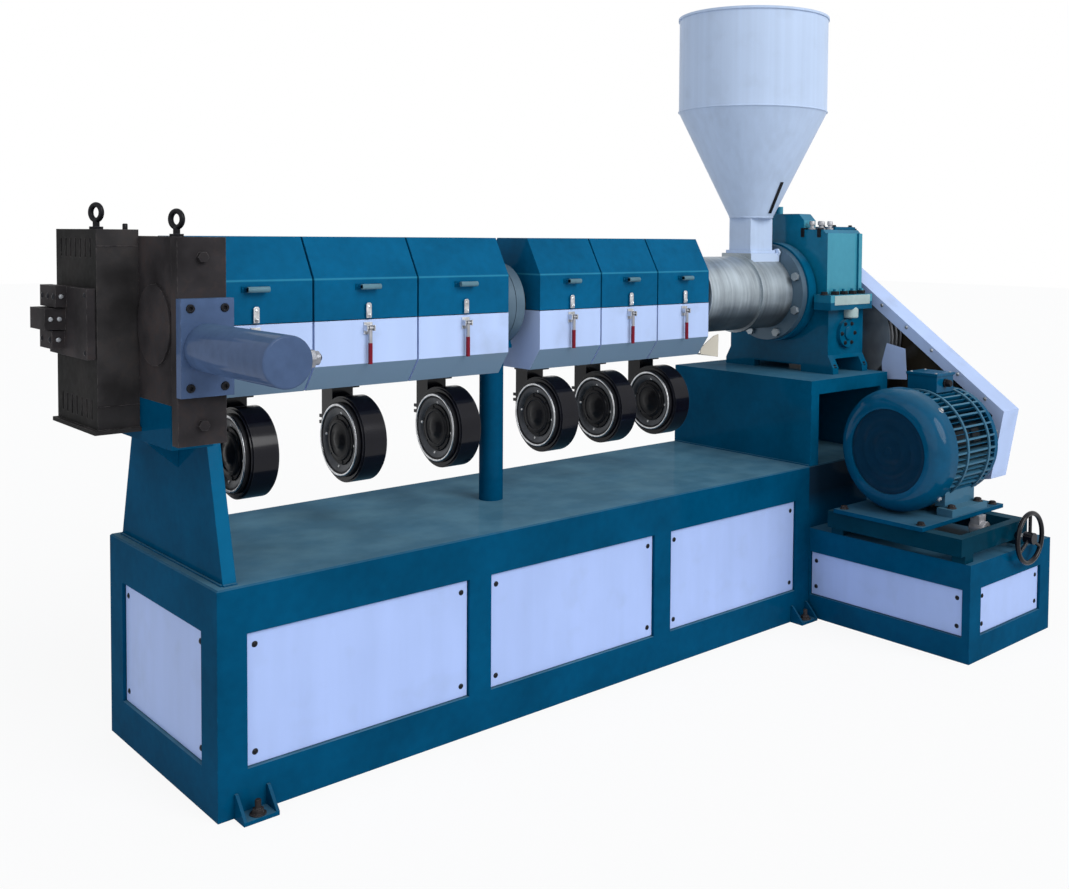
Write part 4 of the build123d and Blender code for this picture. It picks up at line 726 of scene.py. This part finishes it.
def dress_blowers():
    """Silver lip, sunk bowl, hub cap and screws on each inlet, and the clamp ears beside it."""
    lip = [(0.0975, 0.009), (0.104, 0.009), (0.104, 0.0112), (0.102, 0.0126), (0.0985, 0.0122), (0.0975, 0.0112)]
    bowl = [(0.0918, 0.0088), (0.0880, 0.0082), (0.0800, 0.0056), (0.0705, 0.0008), (0.0918, 0.0006)]
    cap = [(0.060, 0.005), (0.058, 0.009), (0.050, 0.0105), (0.048, 0.008)]
    hub = [(0.030, 0.009), (0.022, 0.015), (0.006, 0.017)]
    hub_ring, hub_proud, hub_turn, hub_screw = 0.0645, 0.005, 0.3, 0.004
    rim_ring, rim_proud, rim_turn, rim_screw = 0.0800, 0.0035, 0.1, 0.0045
    ear_start, ear_end, ear_front, ear_back, ear_thick = 0.004, 0.050, 0.112, 0.138, 0.010
    ear_zs = (blower_z + 0.030, blower_z + 0.048)
    pin_x, pin_y, pin_below, pin_length, pin_radius, pin_nut = 0.026, 0.129, 0.004, 0.04, 0.0035, 0.007
    lips, bowls, caps, ears, dark, bright = Shape(), Shape(), Shape(), Shape(), Shape(), Shape()
    for casing_low, _ in solid_boxes("blower_casings"):
        face = casing_low.x
        out = facing((face, 0, blower_z), to_die)
        lips.turned(out, lip, 72, loop=True)
        bowls.turned(out, bowl, 64, loop=True)
        caps.turned(out, cap + hub, 40)
        for turn in turns(6, hub_turn):
            round_head(dark, facing(about(face - hub_proud, 0, blower_z, hub_ring, turn), to_die), hub_screw)
        for turn in turns(4, rim_turn):
            round_head(bright, facing(about(face - rim_proud, 0, blower_z, rim_ring, turn), to_die), rim_screw)
        for z in ear_zs:
            ears.block((face + ear_start, ear_front, z), (face + ear_end, ear_back, z + ear_thick))
        hex_head(bright, facing((face + pin_x, pin_y, ear_zs[1] + ear_thick), upward), pin_nut)
        pin_foot = (face + pin_x, pin_y, ear_zs[0] - pin_below)
        ears.turned(facing(pin_foot, upward), [(pin_radius, 0), (pin_radius, pin_length)], 12)
    lips.made("inlet_lips", "bright_steel")
    bowls.made("inlet_bowls", "inlet_metal", finish=dark_bowl)
    caps.made("hub_caps", "inlet_metal")
    ears.made("clamp_ears", "black_enamel", bevel=0.001)
    dark.made("hub_screws", "black_steel")
    bright.made("inlet_screws", "bright_steel")


def bolt_the_barrel():
    """Hexagon heads on both sides of the pair of flanges over the post."""
    count, ring_radius, half_pair, size = 10, 0.097, 0.034, 0.012
    ring = Shape()
    for face, way in ((-half_pair, to_die), (half_pair, to_drive)):
        for turn in turns(count, math.pi / count):
            hex_head(ring, facing(about(face, 0, screw_z, ring_radius, turn), way), size)
    ring.made("barrel_bolts", "dark_steel")


def dress_gearbox():
    """Nuts on the parting flange, shaft covers, lid plate, breathers, a pale slab along the front of the parting
    flange and the level cup below it.
    """
    case_x, case_length, flange_z, top_z = 1.432, 0.228, 1.183, 1.436
    flange_nut, flange_nut_y, flange_nuts = [(0.016, 0), (0.016, 0.012), (0.0145, 0.014)], 0.259, 4
    corner_x, corner_y = 1.4095, 0.246
    shaft_x, shaft_y, shaft_z, cover_ring = 1.542, 0.266, 1.030, 0.042
    shaft_cap = [(0.026, 0), (0.025, 0.006), (0.014, 0.008)]
    corner_bolt, cover_bolt, foot_bolt, plate_bolt = 0.013, 0.0065, 0.012, 0.0075
    foot_xs, foot_y, foot_z = (1.45, 1.642), 0.262, 0.901
    plate_low_x, plate_high_x, plate_half, plate_thick = 1.516, 1.650, 0.214, 0.012
    plate_xs, plate_ys = (1.530, 1.636), (-0.198, -0.066, 0.066, 0.198)
    breather_spots = ((1.452, -0.150, 0.012), (1.476, -0.176, 0.014), (1.500, -0.200, 0.011))
    pale_front_low, pale_front_high = (1.422, -0.2885, 1.144), (1.652, -0.2855, 1.181)
    cup_spot = (1.560, -0.262, 1.090)
    cup = [(0.027, 0), (0.030, 0.004), (0.030, 0.034), (0.025, 0.040), (0.020, 0.052)]
    clip_xs, clip_ys, clip_half_x, clip_half_y = (1.440, 1.655), (-0.200, -0.120), 0.012, 0.008
    clip_low, clip_high = top_z - 0.030, top_z + 0.006
    nuts, caps, plate, breathers, level = Shape(), Shape(), Shape(), Shape(), Shape()
    for side in (-1, 1):
        for i in range(flange_nuts):
            spot = (case_x + case_length * (i + 0.5) / flange_nuts, side * flange_nut_y, flange_z)
            nuts.turned(facing(spot, upward), flange_nut, 6)
        hex_head(nuts, facing((corner_x, side * corner_y, flange_z), upward), corner_bolt)
        way = (0, side, 0)
        for turn in turns(6):
            spot = (shaft_x + cover_ring * math.cos(turn), side * shaft_y, shaft_z + cover_ring * math.sin(turn))
            hex_head(nuts, facing(spot, way), cover_bolt)
        caps.turned(facing((shaft_x, side * shaft_y, shaft_z), way), shaft_cap, 32)
        for x in foot_xs:
            hex_head(nuts, facing((x, side * foot_y, foot_z), upward), foot_bolt)
    plate.block((plate_low_x, -plate_half, top_z), (plate_high_x, plate_half, top_z + plate_thick))
    for x in plate_xs:
        for y in plate_ys:
            hex_head(nuts, facing((x, y, top_z + plate_thick), upward), plate_bolt)
    for x, y, size in breather_spots:
        foot, stem, crown = size * 1.2, size * 0.7, size * 0.8
        steps = [(foot, 0), (foot, 0.006), (stem, 0.008), (stem, 0.016)]
        steps += [(size, 0.019), (size, 0.030), (crown, 0.034)]
        breathers.turned(Matrix.Translation((x, y, top_z)), steps, 20)
    level.block(pale_front_low, pale_front_high)
    level.turned(Matrix.Translation(cup_spot), cup, 36)
    for x in clip_xs:
        for y in clip_ys:
            nuts.block((x - clip_half_x, y - clip_half_y, clip_low), (x + clip_half_x, y + clip_half_y, clip_high))
    plate.made("lid_plate", "gear_paint", bevel=0.002)
    nuts.made("gearbox_nuts", "black_steel", bevel=0.0006)
    level.made("pale_flange_and_cup", "cast_grey", finish=pale_metal, bevel=0.002)
    caps.made("shaft_caps", "gear_paint")
    breathers.made("breathers", "cast_aluminium")


def dress_motor():
    """Fan guard, thin fins and two bands, cowl screws and the terminal box's screws and gland."""
    guard_x, guard_radius, guard_thick = 1.2332, 0.1485, 0.004
    guard_rings, ring_step, ring_proud = (0.141, 0.100, 0.058), 0.003, 0.0052
    guard_middle = [(0.016, 0.004), (0.014, 0.006)]
    fin_count, fin_start, fin_length, fin_root = 28, 1.3315, 0.2825, 0.160
    fin = [(-0.0015, 0), (0.0015, 0), (0.001, 0.0385), (-0.001, 0.0385)]
    band_xs, band = (1.418, 1.560), [(0.1985, 0), (0.2045, 0), (0.2045, 0.010), (0.1985, 0.010)]
    cowl_screw_x, cowl_screw_out, cowl_screw = 1.316, 0.2175, 0.008
    lid_screw_in, lid_screw = 0.014, 0.0045
    gland_in, gland_down = 0.005, 0.036
    gland_nut = [(0.017, 0), (0.017, 0.006)]
    gland_stem = [(0.013, 0.005), (0.013, 0.020), (0.010, 0.026), (0.005, 0.026)]
    grille, bands, screws, gland = Shape(), Shape(), Shape(), Shape()
    steps = [(guard_radius, 0), (guard_radius, guard_thick)]
    for r in guard_rings:
        steps += [(r, guard_thick), (r - ring_step, ring_proud)]
        steps += [(r - 2 * ring_step, ring_proud), (r - 3 * ring_step, guard_thick)]
    grille.turned(facing((guard_x, motor_y, motor_z), to_die), steps + guard_middle, 72)
    for turn in turns(fin_count, math.pi / fin_count):
        across = (0, -math.sin(turn), math.cos(turn))
        along = (0, math.cos(turn), math.sin(turn))
        root = about(fin_start, motor_y, motor_z, fin_root, turn)
        bands.slab(laid(root, across, along), fin, -fin_length)
    for x in band_xs:
        bands.turned(facing((x, motor_y, motor_z), to_drive), band, 72, loop=True)
    for turn in turns(4, math.pi / 4):
        spot = about(cowl_screw_x, motor_y, motor_z, cowl_screw_out, turn)
        hex_head(screws, facing(spot, (0, math.cos(turn), math.sin(turn))), cowl_screw)
    low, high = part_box("terminal_box")
    for x in (low.x + lid_screw_in, high.x - lid_screw_in):
        for y in (low.y + lid_screw_in, high.y - lid_screw_in):
            round_head(screws, facing((x, y, high.z), upward), lid_screw)
    out = facing(((low.x + high.x) / 2, low.y + gland_in, high.z - gland_down), to_front)
    gland.turned(out, gland_nut, 6)
    gland.turned(out, gland_stem, 24)
    grille.made("cowl_grille", "motor_paint", finish=fan_guard)
    bands.made("motor_bands", "motor_paint", finish=own_finishes["motor_body"])
    screws.made("motor_screws", "cast_grey")
    gland.made("cable_gland", "black_steel")


def dress_slide():
    """The nut on the slide's screw with its lug to the motor plate, and the nut behind the handwheel."""
    nut_y, nut_steps = -0.880, [(0.024, 0), (0.026, 0.004), (0.026, 0.056), (0.024, 0.060)]
    lug_half, lug_front, lug_back, lug_low, lug_high = 0.022, -0.862, -0.826, 0.378, 0.417
    wheel_nut_in, wheel_nut = 0.0175, 0.013
    nut, wheel = Shape(), Shape()
    nut.turned(facing((wheel_x, nut_y, wheel_z), to_back), nut_steps, 32)
    nut.block((wheel_x - lug_half, lug_front, lug_low), (wheel_x + lug_half, lug_back, lug_high))
    hex_head(wheel, facing((wheel_x, wheel_y + wheel_nut_in, wheel_z), to_back), wheel_nut)
    nut.made("slide_nut", "cast_aluminium")
    wheel.made("wheel_nut", "bright_steel", "handwheel")


def dress_guard():
    """Screws along the guard's band, and the small shield in front of the belts."""
    band_x, screw, under_edge = 1.728, 0.006, 0.004
    front_corner, top_corner, top_screws = Vector((-0.812, 0.770)), Vector((-0.120, 1.262)), 6
    front_screws = ((-0.803, 0.690), (-0.790, 0.600), (-0.768, 0.530), (-0.690, 0.500))
    shield_x, shield_thick = 1.7285, 0.003
    shield = [(-0.415, 0.846), (-0.302, 0.838), (-0.296, 0.905), (-0.318, 0.985), (-0.405, 0.968)]
    stay, stay_radius = [(1.730, -0.300, 0.860), (1.730, -0.292, 0.700), (1.730, -0.292, 0.655)], 0.006
    screws, plate = Shape(), Shape()
    for i in range(top_screws):
        y, z = front_corner.lerp(top_corner, (i + 0.5) / top_screws)
        round_head(screws, facing((band_x, y, z - under_edge), to_die), screw)
    for y, z in front_screws:
        round_head(screws, facing((band_x, y, z), to_die), screw)
    screws.made("guard_screws", "cast_grey")
    plate.slab(laid((shield_x, 0, 0), to_back, upward), shield, shield_thick)
    plate.rod(stay, stay_radius)
    plate.made("belt_shield", "white_sheet", bevel=0.001)


def dress_head():
    """Ram screws, screws and bolts on the die's blocks, the stud beside the eye and the box's seams."""
    ram_x, flange_y, screw_out_x, screw_out_z, ram_screw = -1.103, -0.404, 0.040, 0.090, 0.0098
    block_screws = [(-1.301, y, 1.246) for y in (0.020, 0.062, 0.104)]
    block_screws += [(-1.305, y, 1.140) for y in (0.036, 0.096)]
    block_heads = ((-1.288, 0.003, 1.246), (-1.289, 0.014, 1.191), (-1.309, 0.014, 1.191), (-1.290, 0.020, 1.140))
    side_screws = [(-1.275, -0.120, z) for z in (1.118, 1.254)]
    block_screw, block_head, side_screw = 0.006, 0.0042, 0.005
    stud_spot, stud = (-1.180, -0.120, 1.410), [(0.006, 0), (0.006, 0.012), (0.0045, 0.014)]
    seam_start, seam_end, seam_y, seam_zs, seam = -1.2555, -1.1575, -0.1435, (0.990, 1.370), 0.0014
    screws, studs, seams, heads = Shape(), Shape(), Shape(), Shape()
    for x in (ram_x - screw_out_x, ram_x + screw_out_x):
        for z in (ram_z - screw_out_z, ram_z + screw_out_z):
            socket_head(screws, facing((x, flange_y, z), to_front), ram_screw)
    for spot in block_screws:
        round_head(studs, facing(spot, to_die), block_screw)
    for spot in block_heads:
        hex_head(heads, facing(spot, to_front), block_head)
    for spot in side_screws:
        round_head(studs, facing(spot, to_die), side_screw)
    studs.turned(Matrix.Translation(stud_spot), stud, 16)
    for z in seam_zs:
        seams.rod([(seam_start, seam_y, z), (seam_end, seam_y, z)], seam, 8)
    screws.made("ram_screws", "black_steel")
    studs.made("terminal_screws", "black_steel")
    seams.made("box_seams", "dark_steel")
    heads.made("block_bolts", "cast_grey")


def dress_hopper():
    """Beads at the top and the foot of the cone, and the dark sight strip down it."""
    top_bead_z, top_bead_radius, top_bead = 1.888, 0.2868, 0.0032
    low_bead_z, low_bead_radius, low_bead = 1.4815, 0.0842, 0.0022
    cone_foot_z, cone_foot_radius, cone_rise, cone_spread = 1.481, 0.0845, 0.407, 0.2025
    strip_z, strip_half, strip_reach, strip_proud, strip_thick = 1.556, 0.008, 0.066, 0.0012, 0.0022
    beads, strip = Shape(), Shape()
    beads.hoop(Matrix.Translation((hopper_x, 0, top_bead_z)), top_bead_radius, top_bead, 96)
    beads.hoop(Matrix.Translation((hopper_x, 0, low_bead_z)), low_bead_radius, low_bead, 64)
    beads.made("hopper_beads", "hopper_paint")
    lean = math.atan2(cone_spread, cone_rise)
    radius = cone_foot_radius + (strip_z - cone_foot_z) * math.tan(lean)
    place = laid((hopper_x, -radius - strip_proud, strip_z), to_drive, (0, -math.sin(lean), math.cos(lean)))
    corners = ((-1, -1), (1, -1), (1, 1), (-1, 1))
    strip.slab(place, [(x * strip_half, y * strip_reach) for x, y in corners], strip_thick)
    strip.made("sight_strip", "black_steel", bevel=0.0006)


def dress_throat():
    """The folded tray that carries the last pan on under the throat."""
    tray_start, tray_end, half_width, sheet = 0.8615, 0.955, 0.108, 0.003
    cheek = [(tray_start, 0.978), (tray_end, 0.962), (0.957, 1.046), (0.930, 1.040), (tray_start, 1.000)]
    start_z, end_z, floor_half = 0.9785, 0.9625, 0.107
    floor = [(tray_start, start_z), (tray_end, end_z), (tray_end, end_z + sheet), (tray_start, start_z + sheet)]
    tray = Shape()
    for y in (-half_width, half_width - sheet):
        tray.slab(laid((0, y, 0), to_drive, upward), cheek, -sheet)
    tray.skin([[(x, y, z) for x, z in floor] for y in (-floor_half, floor_half)])
    tray.made("throat_tray", "white_sheet", finish=tray_sheet)


def ring_the_port():
    """A black ring round the ram's port fitting, and the plug in its mouth."""
    port_y, ring_x, plug_x = -0.749, -1.0500, -1.0140
    ring = [(0.0168, 0), (0.0185, 0.003), (0.0185, 0.008), (0.0168, 0.010)]
    plug = [(0.0112, 0), (0.0095, 0.006), (0.0055, 0.009)]
    fittings = Shape()
    fittings.turned(facing((ring_x, port_y, ram_z), to_drive), ring, 28)
    fittings.turned(facing((plug_x, port_y, ram_z), to_drive), plug, 24)
    fittings.made("port_ring", "black_steel")


def weld_the_deck():
    """Rippled weld beads where the pedestal and the stand meet the base's top."""
    bead_z, ripple, step, bead_radius = 0.5605, 0.0006, 0.006, 0.0042
    runs = (
        ((1.2015, -0.345), (1.2015, 0.345)),
        ((-1.0360, -0.325), (-1.0360, 0.325)),
        ((-1.034, -0.3275), (-1.000, -0.3275)),
    )
    beads = Shape()
    for start, end in runs:
        start, end = Vector((*start, bead_z)), Vector((*end, bead_z))
        count = max(2, int((end - start).length / step))
        line = [start.lerp(end, i / count) + Vector((0, 0, ripple * (i % 2))) for i in range(count + 1)]
        beads.rod(line, bead_radius, 8)
    beads.made("deck_welds", "teal_paint")


screw_the_panels()
bolt_the_feet()
dress_hoods()
dress_blowers()
bolt_the_barrel()
dress_gearbox()
dress_motor()
dress_slide()
dress_guard()
dress_head()
dress_hopper()
dress_throat()
ring_the_port()
weld_the_deck()


# Floor, light and background

def rays(shader):
    """1 for a ray from the camera, off a gloss or through glass, else 0."""
    camera = shader.node("ShaderNodeLightPath", gives="Is Camera Ray")
    glossy = shader.node("ShaderNodeLightPath", gives="Is Glossy Ray")
    through = shader.node("ShaderNodeLightPath", gives="Is Transmission Ray")
    return shader.node("ShaderNodeClamp", sockets={0: camera + glossy + through})


def lay_floor():
    """A plain pale floor that keeps the machine's shadow."""
    reach, below = 30, 0.0005
    pale = Finish("pale_floor", Roughness=0.9, Specular_IOR_Level=0.0)
    soft = pale.between(pale.mottle(1.2, 2.0), 0.0, 1.0)
    pale.set(Base_Color=pale.blended((0.86, 0.87, 0.88, 1), (0.89, 0.90, 0.91, 1), soft))
    glow = pale.node("ShaderNodeEmission", sockets={"Color": (1, 1, 1, 1), "Strength": 1.0})
    lit = Flow(pale, pale.shader.outputs[0])
    both = pale.node("ShaderNodeMixShader", sockets={0: rays(pale) * 0.9, 1: lit, 2: glow})
    pale.feed(pale.tree.nodes["Material Output"].inputs[0], both)
    work = bmesh.new()
    bmesh.ops.create_grid(work, x_segments=8, y_segments=8, size=reach)
    ground = bpy.data.meshes.new("floor")
    work.to_mesh(ground)
    work.free()
    ground.materials.append(pale.material)
    floor = bpy.data.objects.new("floor", ground)
    floor.location = (0, 0, -below)
    bpy.context.scene.collection.objects.link(floor)


def light_room():
    """An even pale room, one broad lamp from the operator's side and a fill lamp from the die's end."""
    world = bpy.data.worlds.new("room")
    bpy.context.scene.world = world
    world.use_nodes = True
    room = ShaderNodes(world.node_tree)
    walls = room.tree.nodes["Background"]
    room.feed(walls.inputs["Color"], (0.90, 0.94, 1.0, 1))
    room.feed(walls.inputs["Strength"], 0.45)
    white = room.node("ShaderNodeBackground", sockets={"Color": (1, 1, 1, 1)})
    both = room.node("ShaderNodeMixShader", sockets={0: rays(room), 1: Flow(room, walls.outputs[0]), 2: white})
    room.feed(room.tree.nodes["World Output"].inputs[0], both)
    aim = Vector((0.2, 0, 0.9))
    for name, start, strength, spread in (
        ("broad_lamp", (1.2, -5.5, 4.4), 2.0, 0.7),
        ("fill_lamp", (-5.0, -1.5, 3.2), 0.6, 1.2),
    ):
        sun = bpy.data.lights.new(name, "SUN")
        sun.energy = strength
        sun.angle = spread
        lamp = bpy.data.objects.new(name, sun)
        lamp.rotation_euler = (Vector(start) - aim).to_track_quat("Z", "Y").to_euler()
        lamp.location = start
        bpy.context.scene.collection.objects.link(lamp)


lay_floor()
light_room()
bpy.context.scene.view_settings.view_transform = "Standard"
